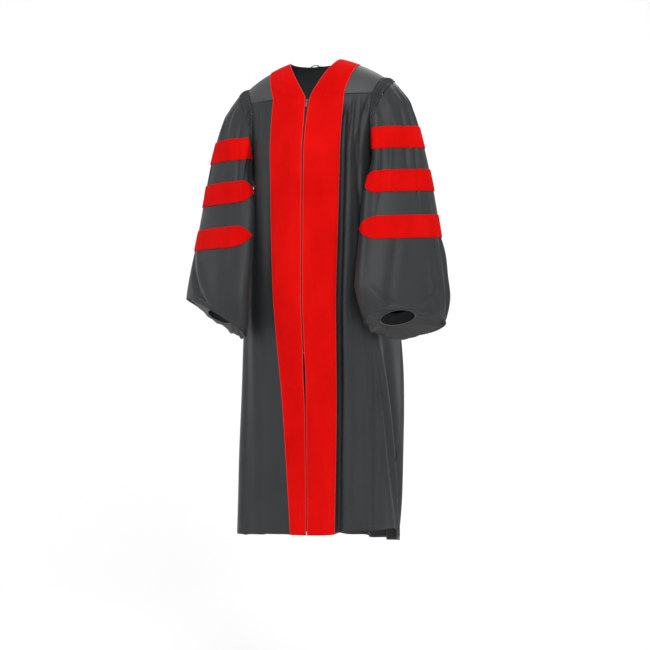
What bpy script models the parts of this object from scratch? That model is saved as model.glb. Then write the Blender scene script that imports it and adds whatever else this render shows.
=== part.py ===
"""Graduation gown, worn and hollow, modelled in metres with +Z up.

The gown faces -Y and +X is the wearer's left. The origin is between the two neck points.
"""
import math

import bmesh
import bpy

# Main sizes
CLOTH = 0.0016
VELVET = 0.0018
SEAM_GAP = 0.0004
LAYER_GAP = 0.0008
YOKE_SEAM_Z = -0.106
BACK_SEAM_Z = -0.124
ARMPIT_Z = -0.300
HEM_Z = -1.300
NECK_HALF = 0.070
NECK_BACK_Y = 0.049
CREST_Y = 0.010
CREST_GAP = 0.0020
SHOULDER_TIP_X = 0.190
YOKE_CORNER_X = 0.170
ARCH_POWER = 1.85
ZIP_END_Z = -0.8040

# Roll of the shoulders: the wearer's left side is a little higher
ROLL = 0.058
ROLL_FULL_Z = -0.42
ROLL_END_Z = -0.72

# Body sections: z, half_width, front_y, side_y, back_y, squareness
BODY = [
    (-0.106, 0.200, -0.095, 0.010, 0.100, 2.40),
    (-0.180, 0.182, -0.130, 0.012, 0.116, 2.30),
    (-0.250, 0.172, -0.153, 0.015, 0.124, 2.20),
    (-0.300, 0.172, -0.156, 0.018, 0.127, 2.15),
    (-0.380, 0.178, -0.159, 0.022, 0.130, 2.10),
    (-0.520, 0.191, -0.163, 0.035, 0.142, 2.10),
    (-0.655, 0.208, -0.165, 0.058, 0.158, 2.10),
    (-0.760, 0.216, -0.149, 0.080, 0.172, 2.15),
    (-0.930, 0.221, -0.124, 0.065, 0.185, 2.20),
    (-1.110, 0.224, -0.114, 0.030, 0.192, 2.20),
    (-1.300, 0.225, -0.110, 0.005, 0.198, 2.20),
]

# Velvet half widths measured from the zip: z, wearers_right, wearers_left
VELVET_AT_SEAM = 0.0986
VELVET_AT_CREST = 0.1235
VELVET_EDGE = [
    (-0.106, VELVET_AT_SEAM, VELVET_AT_SEAM),
    (-0.400, 0.0930, 0.0940),
    (-0.655, 0.0830, 0.0890),
    (-0.930, 0.0660, 0.0830),
    (-1.300, 0.0460, 0.0750),
]

# Crest of the shoulders: x, z
CREST = [
    (0.000, 0.010),
    (0.070, 0.000),
    (0.124, -0.020),
    (0.160, -0.038),
    (0.190, -0.058),
    (0.210, -0.075),
]

# Armhole edge as an angle round the body: z, degrees from the centre
ARMHOLE = [
    (-0.106, 55.5),
    (-0.140, 57.0),
    (-0.180, 62.0),
    (-0.250, 73.0),
    (-0.285, 83.0),
    (-0.300, 90.0),
]

# Folds of the body, side 1 is the wearer's left and -1 the right:
# side, beside_velvet, angle_top, angle_hem, width, depth, z_top, z_full
FOLDS = [
    (1, True, 3.8, 3.4, 3.6, -0.0150, -0.112, -0.170),
    (1, True, 9.5, 9.0, 3.6, 0.0045, -0.112, -0.160),
    (1, False, 52.0, 54.0, 12.0, 0.0100, -0.280, -0.700),
    (1, False, 6.3, 90.0, 5.0, 0.0080, -0.660, -0.860),
    (1, False, 17.0, 100.0, 6.0, -0.0150, -0.640, -0.900),
    (1, False, 97.0, 101.0, 8.0, 0.0120, -0.560, -0.900),
    (1, False, 52.0, 50.0, 3.0, -0.0050, -0.112, -0.150),
    (-1, True, 4.5, 4.0, 5.0, -0.0050, -0.120, -0.400),
    (-1, False, 62.0, 60.0, 9.0, 0.0050, -0.300, -0.900),
    (-1, False, 79.0, 82.0, 6.0, -0.0070, -0.500, -1.000),
    (-1, False, 97.0, 99.0, 7.0, 0.0080, -0.500, -1.000),
]
BACK_FLUTES = 8
FLUTE_DEPTH = 0.0130
FLUTE_START_Z = -0.220
FLUTE_FULL_Z = -1.000
FLUTE_UNEVEN = 0.3

# How far the hem hangs below its row: degrees round the body, drop
HEM_DROP = [
    (-180, 0.020),
    (-110, 0.018),
    (-88, 0.000),
    (-60, -0.004),
    (-25, -0.0125),
    (0, -0.0135),
    (16, -0.0165),
    (26, -0.024),
    (40, -0.026),
    (82, -0.026),
    (97, 0.006),
    (112, 0.020),
    (150, 0.024),
    (180, 0.020),
]
HEM_START_Z = -1.000

# Half width of the front opening: z, half_gap
FRONT_GAP = [
    (-0.106, 0.0062),
    (-0.120, 0.0038),
    (-0.140, 0.0034),
    (-0.190, 0.0017),
    (-0.780, 0.0013),
    (-0.850, 0.0024),
    (-0.960, 0.0011),
    (-1.300, 0.0011),
]

# Sleeve sections: z, centre_x, centre_y, half_broad, half_thin, turn in degrees
SLEEVE = [
    (-0.100, 0.222, 0.004, 0.050, 0.042, 10.0),
    (-0.240, 0.228, -0.004, 0.072, 0.046, 23.0),
    (-0.380, 0.236, -0.036, 0.104, 0.046, 36.0),
    (-0.500, 0.246, -0.059, 0.123, 0.048, 40.0),
    (-0.630, 0.255, -0.088, 0.141, 0.051, 43.0),
    (-0.700, 0.255, -0.092, 0.138, 0.053, 43.0),
    (-0.780, 0.254, -0.094, 0.120, 0.050, 43.0),
]
SLEEVE_JOIN_Z = -0.380
SLEEVE_START_ANGLE = 45.0
SLEEVE_ARCH = 0.24
UNDERARM_REACH = 0.035
FRONT_SWING = -0.10
SHOULDER_FLAT = 0.72
SWING_LENGTH = 0.32
PUSH_FULL = 0.45
SECTION_STEP = 0.03
SECTION_POWER = 0.92
ARMHOLE_POWER = 1.1
ARCH_END = 60.0
HEAD_LENGTH = 0.038
HEAD_LEAST = 0.010
HEAD_STRETCH = 1.05
SHIRR_GATHERS = 24
SHIRR_DEPTH = 0.0016
HEAD_SEAM = 0.0011
SLEEVE_SEAM = 0.0018
RIM_LOW_ANGLE = 258.0
BODY_MARGIN = 0.022
BODY_SOFTNESS = 0.03

# The sleeves' lower edges, for the wearer's left (1) and right (-1)
RIM_Z = {1: -0.713, -1: -0.697}
RIM_DROP = {1: 0.044, -1: 0.026}
RIM_TILT = {1: -0.20, -1: 0.34}

# How far each sleeve draws in beside the body towards its end
END_DRAW = {1: 0.034, -1: 0.0}
DRAW_START_Z = -0.600
DRAW_FULL_Z = -0.760

# Sleeve columns round the arm: 0 outside, 90 front, 180 beside the body, 270 behind
SLEEVE_ANGLES = [
    -80, -62, -46, -30, -15, 0, 15, 30, 45, 60, 74, 88, 104, 130,
    143, 156, 168, 180, 192, 205, 218, 231, 244, 257, 268,
]

# Sleeve rows above the rim: z of each row, where bars have a top, a middle and a bottom row
SLEEVE_ROWS = [
    -0.150, -0.201, -0.231, -0.261, -0.290, -0.319, -0.349, -0.379,
    -0.411, -0.443, -0.473, -0.503, -0.560, -0.620,
]
BAR_TOP_ROWS = [2, 6, 10]
BAR_COLUMNS = 13
ROW_STEP = 0.012

# Cuff mouth
MOUTH_X = {1: 0.247, -1: 0.240}
MOUTH_Y = -0.105
MOUTH_Z = {1: -0.700, -1: -0.697}
MOUTH_BROAD = 0.055
MOUTH_THIN = 0.026
MOUTH_SLOPE = 0.80
MOUTH_NARROWS = 0.86
CUFF_STEPS = ((0.12, 0.008), (0.5, 0.009), (0.9, 0.004))
CUFF_DEPTH = 0.028
CUFF_SEAM = 0.0026

# Zip
TAPE = 0.0010
TAPE_INNER = 0.0005
TAPE_OUTER = 0.0120
SLIDER_Z = -0.121
SLIDER_WIDTH = 0.0060
SLIDER_LENGTH = 0.0110
SLIDER_THICK = 0.0045
SLIDER_BACK = 0.0016
BRIDGE_HEIGHT = 0.0032
BRIDGE_WIDTH = 0.0018
PULL_WIDTH = 0.0048
PULL_LENGTH = 0.0200
PULL_THICK = 0.0010
PULL_BAR = 0.0006
STOP_Z = -0.795
STOP_WIDTH = 0.0020
STOP_THICK = 0.0016
STOP_LENGTH = 0.0040
BRIDGE_SINK = 0.0004
BRIDGE_FOOT = 0.80
BRIDGE_TOP = 0.55
BRIDGE_ROOM = 0.0003
BRIDGE_WALL = 0.0008
HOLE_HALF = 0.0015
PULL_ROOM = 0.0006
PULL_END = 0.0012
PULL_SHOULDER = 0.80
PULL_STAND = 0.42

# Neck loop
LOOP_X = -0.012
LOOP_HALF = 0.013
LOOP_RISE = 0.009
LOOP_SINK = 0.006
LOOP_IN = 0.0036
LOOP_RADIUS = 0.0014

# Colours
CHARCOAL = (0.068, 0.074, 0.076, 1.0)
RED = (0.78, 0.010, 0.008, 1.0)
TAPE_GREY = (0.05, 0.05, 0.055, 1.0)
METAL = (0.55, 0.55, 0.57, 1.0)


def clear_scene():
    for obj in list(bpy.data.objects):
        bpy.data.objects.remove(obj, do_unlink=True)


def make_collection(name):
    collection = bpy.data.collections.new(name)
    bpy.context.scene.collection.children.link(collection)
    return collection


def smooth(low, high, value):
    share = (value - low) / (high - low)
    share = max(0.0, min(1.0, share))
    return share * share * (3.0 - 2.0 * share)


def look_up(table, key):
    """Smooth reading of a table whose first column rises or falls steadily."""
    rising = table[-1][0] > table[0][0]
    rows = table if rising else table[::-1]
    key = max(rows[0][0], min(rows[-1][0], key))
    place = 0
    while place < len(rows) - 2 and key > rows[place + 1][0]:
        place += 1
    low, high = rows[place], rows[place + 1]
    before = rows[max(place - 1, 0)]
    after = rows[min(place + 2, len(rows) - 1)]
    span = high[0] - low[0]
    t = (key - low[0]) / span
    values = []
    for column in range(1, len(low)):
        slope_low = (high[column] - before[column]) / (high[0] - before[0])
        slope_high = (after[column] - low[column]) / (after[0] - low[0])
        value = (2 * t ** 3 - 3 * t ** 2 + 1) * low[column]
        value += (t ** 3 - 2 * t ** 2 + t) * span * slope_low
        value += (3 * t ** 2 - 2 * t ** 3) * high[column]
        value += (t ** 3 - t ** 2) * span * slope_high
        values.append(value)
    return values


def settle(point):
    """The roll of the shoulders, fading out down the gown."""
    x, y, z = point
    share = 1.0 - smooth(-ROLL_FULL_Z, -ROLL_END_Z, -z)
    return (x, y, z + ROLL * share * x)


def power(value, exponent):
    return math.copysign(abs(value) ** exponent, value)


def body_plain(degrees, z):
    """Point of the unfolded body: 0 is the centre front, 90 the wearer's left, 180 the centre back."""
    half, front_y, side_y, back_y, square = look_up(BODY, z)
    turn = math.radians(degrees)
    x = half * power(math.sin(turn), 2.0 / square)
    lean = power(math.cos(turn), 2.0 / square)
    depth = side_y - front_y if lean > 0 else back_y - side_y
    return x, side_y - depth * lean, z


def fold_depth(degrees, z):
    angle = (degrees + 180.0) % 360.0 - 180.0
    side = 1 if angle >= 0 else -1
    share = (z - YOKE_SEAM_Z) / (HEM_Z - YOKE_SEAM_Z)
    edge = angle_at(velvet_width(side, z), z)
    total = 0.0
    for fold_side, beside_velvet, top, hem, width, depth, z_top, z_full in FOLDS:
        if fold_side == side:
            centre = top + (hem - top) * share + (edge if beside_velvet else 0.0)
            away = (abs(angle) - centre) / width
            total += depth * smooth(-z_top, -z_full, -z) * math.exp(-away * away)
    behind = smooth(100.0, 122.0, abs(angle))
    grow = smooth(-FLUTE_START_Z, -FLUTE_FULL_Z, -z)
    wave = math.cos(2.0 * math.pi * BACK_FLUTES * (180.0 - abs(angle)) / 180.0)
    uneven = 1.0 + FLUTE_UNEVEN * math.sin(math.radians(3.0 * angle + 40.0))
    return total + behind * grow * wave * uneven * FLUTE_DEPTH


def hem_drop(degrees):
    return look_up(HEM_DROP, (degrees + 180.0) % 360.0 - 180.0)[0]


def body_point(degrees, z):
    step = 1.0
    x, y, _ = body_plain(degrees, z)
    ax, ay, _ = body_plain(degrees - step, z)
    bx, by, _ = body_plain(degrees + step, z)
    run_x, run_y = bx - ax, by - ay
    length = math.hypot(run_x, run_y)
    lift = fold_depth(degrees, z)
    low = smooth(-HEM_START_Z, -HEM_Z, -z)
    return (x + lift * run_y / length, y - lift * run_x / length, z - low * hem_drop(degrees))


def angle_at(x, z):
    """Angle whose front point lies at this x."""
    half, _, _, _, square = look_up(BODY, z)
    return math.degrees(math.asin(min(1.0, abs(x) / half) ** (square / 2.0)))


def armhole_angle(z):
    return look_up(ARMHOLE, z)[0] if z > ARMPIT_Z else 90.0


def seam_depth(x, seam_z, back):
    half, front_y, side_y, back_y, square = look_up(BODY, seam_z)
    full = back_y - side_y if back else side_y - front_y
    return full * max(0.0, 1.0 - (abs(x) / half) ** square) ** (1.0 / square)


def arch_point(x, degrees):
    """Point of the yoke: 0 degrees is the front seam, 90 the crest, 180 the back seam."""
    turn = math.radians(degrees)
    back = degrees > 90.0
    seam_z = BACK_SEAM_Z if back else YOKE_SEAM_Z
    depth = seam_depth(x, seam_z, back)
    top = look_up(CREST, abs(x))[0]
    y = CREST_Y - depth * power(math.cos(turn), 2.0 / ARCH_POWER)
    z = seam_z + (top - seam_z) * math.sin(turn) ** (2.0 / ARCH_POWER)
    return (x, y, z)


def outer_edge(degrees):
    """Distance of the armhole edge from the middle, along the yoke."""
    rise = math.sin(math.radians(degrees)) ** (2.0 / ARCH_POWER)
    corner = YOKE_CORNER_X
    if degrees > 90.0:
        corner = body_plain(180.0 - armhole_angle(BACK_SEAM_Z), BACK_SEAM_Z)[0]
    return corner + (SHOULDER_TIP_X - corner) * rise


def grid_object(collection, name, rows, thickness, colour, turned=False, closed=False, flips=(), skips=()):
    """An open sheet of triangles through rows of points, thickened inwards.

    flips are the quads whose diagonal runs the other way, skips are triangles left out.
    """
    mesh = bpy.data.meshes.new(name)
    sheet = bmesh.new()
    verts = [[sheet.verts.new(point) for point in row] for row in rows]
    count = len(rows[0])
    for i in range(len(rows) - 1):
        for j in range(count if closed else count - 1):
            k = (j + 1) % count
            a, b, c, d = verts[i][j], verts[i][k], verts[i + 1][k], verts[i + 1][j]
            pair = [(a, d, c), (a, c, b)] if (i, j) in flips else [(a, d, b), (b, d, c)]
            for place, corners in enumerate(pair):
                if (i, j, place) not in skips:
                    sheet.faces.new(corners[::-1] if turned else corners)
    loose = [vert for vert in sheet.verts if not vert.link_faces]
    bmesh.ops.delete(sheet, geom=loose, context="VERTS")
    sheet.to_mesh(mesh)
    sheet.free()
    return finish_object(collection, name, mesh, thickness, colour)


def finish_object(collection, name, mesh, thickness, colour, metallic=0.0):
    obj = bpy.data.objects.new(name, mesh)
    collection.objects.link(obj)
    if thickness:
        solid = obj.modifiers.new("Thickness", "SOLIDIFY")
        solid.thickness = thickness
        solid.offset = -1.0
    material = bpy.data.materials.new(name)
    material.use_nodes = True
    shader = material.node_tree.nodes["Principled BSDF"]
    shader.inputs["Base Color"].default_value = colour
    shader.inputs["Metallic"].default_value = metallic
    shader.inputs["Roughness"].default_value = 0.35 if metallic else 0.7
    mesh.materials.append(material)
    mesh.shade_smooth()
    return obj


def moved_out(rows, distance, closed=False):
    """The same points moved along the sheet's own normals."""
    result = []
    count = len(rows[0])
    for i, row in enumerate(rows):
        moved = []
        for j, point in enumerate(row):
            up = rows[max(i - 1, 0)][j]
            down = rows[min(i + 1, len(rows) - 1)][j]
            if closed:
                left, right = row[(j - 1) % count], row[(j + 1) % count]
            else:
                left, right = row[max(j - 1, 0)], row[min(j + 1, count - 1)]
            across = [right[k] - left[k] for k in range(3)]
            along = [down[k] - up[k] for k in range(3)]
            normal = (
                along[1] * across[2] - along[2] * across[1],
                along[2] * across[0] - along[0] * across[2],
                along[0] * across[1] - along[1] * across[0],
            )
            size = math.sqrt(sum(value * value for value in normal)) or 1.0
            moved.append(tuple(point[k] + distance * normal[k] / size for k in range(3)))
        result.append(moved)
    return result


def settled(rows):
    return [[settle(point) for point in row] for row in rows]


# Fronts, front yokes and their velvet
LOWER_ROWS = [
    -0.300, -0.360, -0.430, -0.510, -0.590, -0.670, -0.750,
    -0.830, -0.910, -0.990, -1.070, -1.150, -1.230, -1.300,
]
FRONT_ROWS = [-0.106, -0.140, -0.180, -0.220, -0.260] + LOWER_ROWS
VELVET_COLUMNS = 4
PLAIN_COLUMNS = 13
YOKE_STEPS = 6
YOKE_PLAIN_COLUMNS = 4


def velvet_width(side, z):
    right, left = look_up(VELVET_EDGE, z)
    return left if side > 0 else right


def front_rows(side):
    rows = []
    for number, z in enumerate(FRONT_ROWS):
        level = z - SEAM_GAP if number == 0 else z
        start = angle_at(look_up(FRONT_GAP, z)[0], z)
        edge = angle_at(velvet_width(side, z), z)
        end = armhole_angle(z)
        angles = [start + (edge - start) * k / VELVET_COLUMNS for k in range(VELVET_COLUMNS)]
        angles += [edge + (end - edge) * (k / PLAIN_COLUMNS) ** 1.25 for k in range(PLAIN_COLUMNS + 1)]
        rows.append([body_point(side * angle, level) for angle in angles])
    return rows


def yoke_front_rows(side):
    rows = []
    for step in range(YOKE_STEPS + 1):
        degrees = 90.0 * step / YOKE_STEPS
        rise = math.sin(math.radians(degrees)) ** (2.0 / ARCH_POWER)
        inner = FRONT_GAP[0][1] + (NECK_HALF - FRONT_GAP[0][1]) * rise
        edge = VELVET_AT_SEAM + (VELVET_AT_CREST - VELVET_AT_SEAM) * rise
        outer = outer_edge(degrees)
        spots = [inner + (edge - inner) * k / VELVET_COLUMNS for k in range(VELVET_COLUMNS)]
        spots += [edge + (outer - edge) * k / YOKE_PLAIN_COLUMNS for k in range(YOKE_PLAIN_COLUMNS + 1)]
        rows.append([arch_point(side * x, degrees) for x in spots])
    return rows[::-1]


def build_fronts(collection):
    for side, word in ((1, "left"), (-1, "right")):
        turned = side < 0
        front = settled(front_rows(side))
        yoke = settled(yoke_front_rows(side))
        grid_object(collection, "front_" + word, front, CLOTH, CHARCOAL, turned)
        grid_object(collection, "yoke_" + word, yoke, CLOTH, CHARCOAL, turned)
        beside = [row[:VELVET_COLUMNS + 2] for row in yoke[:-1] + front]
        lifted = moved_out(beside, side * (LAYER_GAP + VELVET))
        band = [row[:VELVET_COLUMNS + 1] for row in lifted]
        grid_object(collection, "velvet_" + word, band, VELVET, RED, turned)


# Back and back yoke
BACK_ROWS = [-0.124, -0.160, -0.200, -0.250] + LOWER_ROWS
BACK_COLUMNS = 40
BACK_YOKE_STEPS = 5
BACK_YOKE_SIDE = 5
BACK_NECK_COLUMNS = 8
SIDE_GAP_DEGREES = 0.34


def back_rows():
    rows = []
    for number, z in enumerate(BACK_ROWS):
        level = z - SEAM_GAP if number == 0 else z
        reach = 180.0 - armhole_angle(z) if z > ARMPIT_Z else 90.0 + SIDE_GAP_DEGREES
        row = []
        for k in range(BACK_COLUMNS + 1):
            degrees = reach + (360.0 - 2.0 * reach) * k / BACK_COLUMNS
            row.append(body_point(degrees, level))
        rows.append(row)
    return rows


def neck_degrees(x):
    """How far behind the crest the back neck edge lies at this x."""
    share = max(0.0, 1.0 - (x / NECK_HALF) ** 2)
    reach = CREST_GAP + (NECK_BACK_Y - CREST_Y - CREST_GAP) * math.sqrt(share)
    return behind_crest(x, reach)


def behind_crest(x, reach):
    """Angle of the yoke point that lies this far behind the crest."""
    depth = seam_depth(x, BACK_SEAM_Z, True)
    return 90.0 + math.degrees(math.asin(min(1.0, (reach / depth) ** (ARCH_POWER / 2.0))))


def yoke_back_rows():
    rows = []
    for step in range(BACK_YOKE_STEPS + 1):
        share = step / BACK_YOKE_STEPS
        row = []
        for k in range(-BACK_YOKE_SIDE, BACK_YOKE_SIDE + BACK_NECK_COLUMNS + 1):
            if k <= 0:
                sign, out = 1.0, -k / BACK_YOKE_SIDE
            elif k >= BACK_NECK_COLUMNS:
                sign, out = -1.0, (k - BACK_NECK_COLUMNS) / BACK_YOKE_SIDE
            else:
                sign, out = 0.0, 0.0
            if sign:
                start = behind_crest(NECK_HALF + (SHOULDER_TIP_X - NECK_HALF) * out, CREST_GAP)
                degrees = start + (180.0 - start) * share
                x = sign * (NECK_HALF + (outer_edge(degrees) - NECK_HALF) * out)
            else:
                x = NECK_HALF * math.cos(math.pi * k / BACK_NECK_COLUMNS)
                start = neck_degrees(x)
                degrees = start + (180.0 - start) * share
            row.append(arch_point(x, degrees))
        rows.append(row)
    return rows


def build_back(collection):
    grid_object(collection, "back", settled(back_rows()), CLOTH, CHARCOAL)
    grid_object(collection, "yoke_back", settled(yoke_back_rows()), CLOTH, CHARCOAL)


# Sleeves
def armhole_point(degrees):
    """Point of the armhole: 0 shoulder tip, 60 front corner, 180 armpit, 300 back corner."""
    degrees %= 360.0
    if degrees <= ARCH_END:
        arch = 90.0 * (1.0 - degrees / ARCH_END)
        return arch_point(outer_edge(arch), arch)
    if degrees >= 360.0 - ARCH_END:
        arch = 90.0 + 90.0 * (360.0 - degrees) / ARCH_END
        return arch_point(outer_edge(arch), arch)
    front = degrees <= 180.0
    share = ((degrees if front else 360.0 - degrees) - ARCH_END) / (180.0 - ARCH_END)
    top = YOKE_SEAM_Z if front else BACK_SEAM_Z
    z = top + (ARMPIT_Z - top) * math.sin(share * math.pi / 2.0) ** ARMHOLE_POWER
    angle = armhole_angle(z)
    return body_point(angle if front else 180.0 - angle, z)


def sleeve_section(degrees, z):
    centre_x, centre_y, broad, thin, turn = look_up(SLEEVE, z)
    place = math.radians(degrees + SLEEVE_START_ANGLE)
    turn = math.radians(turn)
    along = broad * power(math.cos(place), SECTION_POWER)
    across = thin * power(math.sin(place), SECTION_POWER)
    x = centre_x + along * math.cos(turn) + across * math.sin(turn)
    y = centre_y + along * math.sin(turn) - across * math.cos(turn)
    return (x, y, z)


def clear_of_body(point, amount):
    """Keeps the sleeve outside the body by a share of the body's own size."""
    x, y, z = point
    half, front_y, side_y, back_y, square = look_up(BODY, min(z, BODY[0][0]))
    depth = side_y - front_y if y < side_y else back_y - side_y
    reach = ((abs(x) / half) ** square + (abs(y - side_y) / depth) ** square) ** (1.0 / square)
    need = 1.0 + amount
    wanted = 0.5 * (reach + need + math.hypot(reach - need, BODY_SOFTNESS))
    scale = wanted / reach
    return (x * scale, side_y + (y - side_y) * scale, z)


def meridian(degrees, share):
    """The sleeve's run from the armhole down to the first full section."""
    start = armhole_point(degrees)
    end = sleeve_section(degrees, SLEEVE_JOIN_Z)
    below = sleeve_section(degrees, SLEEVE_JOIN_Z - SECTION_STEP)
    length = start[2] - end[2]
    outward = max(0.0, math.cos(math.radians(degrees)))
    turn = math.radians(degrees)
    leave = (
        UNDERARM_REACH + SLEEVE_ARCH * outward * length / SWING_LENGTH,
        FRONT_SWING * math.sin(turn) * length / SWING_LENGTH,
        -length * (1.0 - SHOULDER_FLAT * outward),
    )
    arrive = [(below[k] - end[k]) / SECTION_STEP * length for k in range(3)]
    t = share
    square, cube = t * t, t * t * t
    weights = (2 * cube - 3 * square + 1, cube - 2 * square + t, 3 * square - 2 * cube, cube - square)
    point = tuple(
        weights[0] * start[k] + weights[1] * leave[k] + weights[2] * end[k] + weights[3] * arrive[k]
        for k in range(3)
    )
    pushed = clear_of_body(point, BODY_MARGIN)
    share = smooth(0.0, PUSH_FULL, share)
    return tuple(point[k] + (pushed[k] - point[k]) * share for k in range(3))


def sleeve_point(degrees, z):
    if z <= SLEEVE_JOIN_Z:
        return clear_of_body(sleeve_section(degrees, z), BODY_MARGIN)
    low, high = 0.0, 1.0
    for _ in range(30):
        middle = 0.5 * (low + high)
        if meridian(degrees, middle)[2] > z:
            low = middle
        else:
            high = middle
    return meridian(degrees, low)


def sleeve_end_point(side, degrees, z):
    """Point of the lower sleeve, drawn in on the side of the body."""
    x, y, _ = sleeve_point(degrees, z)
    inner = 0.5 - 0.5 * math.cos(math.radians(degrees + SLEEVE_START_ANGLE))
    draw = END_DRAW[side] * inner * inner * smooth(-DRAW_START_Z, -DRAW_FULL_Z, -z)
    turn = math.radians(SLEEVE[4][5])
    return (x + draw * math.cos(turn), y + draw * math.sin(turn), z)


def seam_share(degrees, gap):
    """Share of the meridian that a seam gap takes."""
    return gap / (armhole_point(degrees)[2] - SLEEVE_JOIN_Z)


def head_share(degrees):
    """Share of the meridian that the shirred band takes."""
    length = armhole_point(degrees)[2] - SLEEVE_JOIN_Z
    top = 0.5 + 0.5 * math.cos(math.radians(degrees))
    band = HEAD_LEAST + (HEAD_LENGTH - HEAD_LEAST) * smooth(0.0, 0.75, top)
    return band / (length * HEAD_STRETCH)


def rim_z(side, degrees):
    place = math.radians(degrees + SLEEVE_START_ANGLE - RIM_LOW_ANGLE)
    level = RIM_Z[side] - RIM_DROP[side] * math.cos(place)
    x = sleeve_section(degrees, RIM_Z[side])[0]
    return level + RIM_TILT[side] * (x - SLEEVE[4][1])


def soft_min(first, second, width=0.010):
    return 0.5 * (first + second - math.sqrt((first - second) ** 2 + width * width))


def sleeve_rows(side):
    heads = [meridian(angle, head_share(angle)) for angle in SLEEVE_ANGLES]
    rows = [[meridian(angle, head_share(angle) + seam_share(angle, SLEEVE_SEAM)) for angle in SLEEVE_ANGLES]]
    for number, z in enumerate(SLEEVE_ROWS, start=1):
        row = []
        for head, angle in zip(heads, SLEEVE_ANGLES):
            lowest = head[2] - ROW_STEP * number * (SLEEVE_JOIN_Z - head[2]) / (SLEEVE_JOIN_Z + 0.09)
            level = z if z <= SLEEVE_JOIN_Z else soft_min(z, lowest)
            row.append(sleeve_point(angle, level))
        rows.append(row)
    last = SLEEVE_ROWS[-1]
    for share in (0.6, 1.0):
        levels = [last + (rim_z(side, angle) - last) * share for angle in SLEEVE_ANGLES]
        rows.append([sleeve_end_point(side, angle, level) for angle, level in zip(SLEEVE_ANGLES, levels)])
    return rows


def mirrored(rows, side):
    return [[(side * x, y, z) for x, y, z in row] for row in rows]


def on_sleeve_edge(degrees):
    """Point of the straight-sided ring where the shirred band meets the sleeve."""
    angles = SLEEVE_ANGLES + [SLEEVE_ANGLES[0] + 360]
    degrees = (degrees - angles[0]) % 360.0 + angles[0]
    place = max(k for k in range(len(angles) - 1) if angles[k] <= degrees)
    low, high = angles[place], angles[place + 1]
    share = (degrees - low) / (high - low)
    first = meridian(low, head_share(low))
    second = meridian(high, head_share(high))
    return tuple(first[k] + (second[k] - first[k]) * share for k in range(3))


def head_rows():
    """The shirred band, with a small raised gather at every other point."""
    count = SHIRR_GATHERS * 2
    angles = [360.0 * j / count for j in range(count)]
    rows = []
    for share in (0.0, 0.4):
        row = []
        for angle in angles:
            gap = seam_share(angle, HEAD_SEAM) * (1.0 - share)
            row.append(meridian(angle, head_share(angle) * share + gap))
        rows.append(row)
    rows.append([on_sleeve_edge(angle) for angle in angles])
    lifted = moved_out(rows, -SHIRR_DEPTH, closed=True)
    for i in (1, 2):
        for j in range(0, count, 2):
            if math.cos(math.radians(angles[j])) > -0.45:
                rows[i][j] = lifted[i][j]
    return rows


def bar_rows(sleeve, side, top_row):
    lifted = moved_out(sleeve, -side * (LAYER_GAP + VELVET), closed=True)
    return [row[:BAR_COLUMNS + 1] for row in lifted[top_row:top_row + 3]]


def mouth_ring(side, scale, rise):
    turn = math.radians(SLEEVE[4][5])
    ring = []
    for angle in SLEEVE_ANGLES:
        place = math.radians(angle + SLEEVE_START_ANGLE)
        along = scale * MOUTH_BROAD * math.cos(place)
        across = scale * MOUTH_THIN * math.sin(place)
        x = MOUTH_X[side] + along * math.cos(turn) + across * math.sin(turn)
        y = MOUTH_Y + along * math.sin(turn) - across * math.cos(turn)
        ring.append((x, y, MOUTH_Z[side] + MOUTH_SLOPE * across + rise))
    return ring


def blend_rings(first, second, share, drop):
    return [
        (a[0] + (b[0] - a[0]) * share, a[1] + (b[1] - a[1]) * share, a[2] + (b[2] - a[2]) * share - drop)
        for a, b in zip(first, second)
    ]


def cuff_rows(side, rim):
    """From the sleeve's lower edge, under and in to the mouth, then up inside."""
    mouth = mouth_ring(side, 1.0, 0.0)
    rows = [blend_rings(rim, mouth, 0.0, CUFF_SEAM)]
    for share, drop in CUFF_STEPS:
        rows.append(blend_rings(rim, mouth, share, drop))
    rows.append(mouth)
    rows.append(mouth_ring(side, MOUTH_NARROWS, CUFF_DEPTH))
    return rows


def build_sleeves(collection):
    flips = set()
    for row in BAR_TOP_ROWS:
        flips.add((row + 1, 0))
        flips.add((row, BAR_COLUMNS - 1))
    bar_flips = {(1, 0), (0, BAR_COLUMNS - 1)}
    tips = {(0, 0, 0), (1, 0, 0), (0, BAR_COLUMNS - 1, 1), (1, BAR_COLUMNS - 1, 1)}
    for side, word in ((1, "left"), (-1, "right")):
        turned = side > 0
        base = sleeve_rows(side)
        sleeve = settled(mirrored(base, side))
        head = settled(mirrored(head_rows(), side))
        cuff = settled(mirrored(cuff_rows(side, base[-1]), side))
        grid_object(collection, "sleeve_" + word, sleeve, CLOTH, CHARCOAL, turned, True, flips)
        grid_object(collection, "sleeve_head_" + word, head, CLOTH, CHARCOAL, turned, True)
        grid_object(collection, "cuff_" + word, cuff, CLOTH, CHARCOAL, turned, True)
        for number, row in enumerate(BAR_TOP_ROWS, start=1):
            bar = bar_rows(sleeve, side, row)
            name = "bar_" + word + "_" + str(number)
            grid_object(collection, name, bar, VELVET, RED, turned, False, bar_flips, tips)


def front_middle(z):
    """Height and slope of the centre front, where the zip runs."""
    step = 0.004
    y = body_plain(0.0, z)[1]
    slope = (body_plain(0.0, z - step)[1] - body_plain(0.0, z + step)[1]) / (2.0 * step)
    return y, math.atan(-slope)


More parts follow.
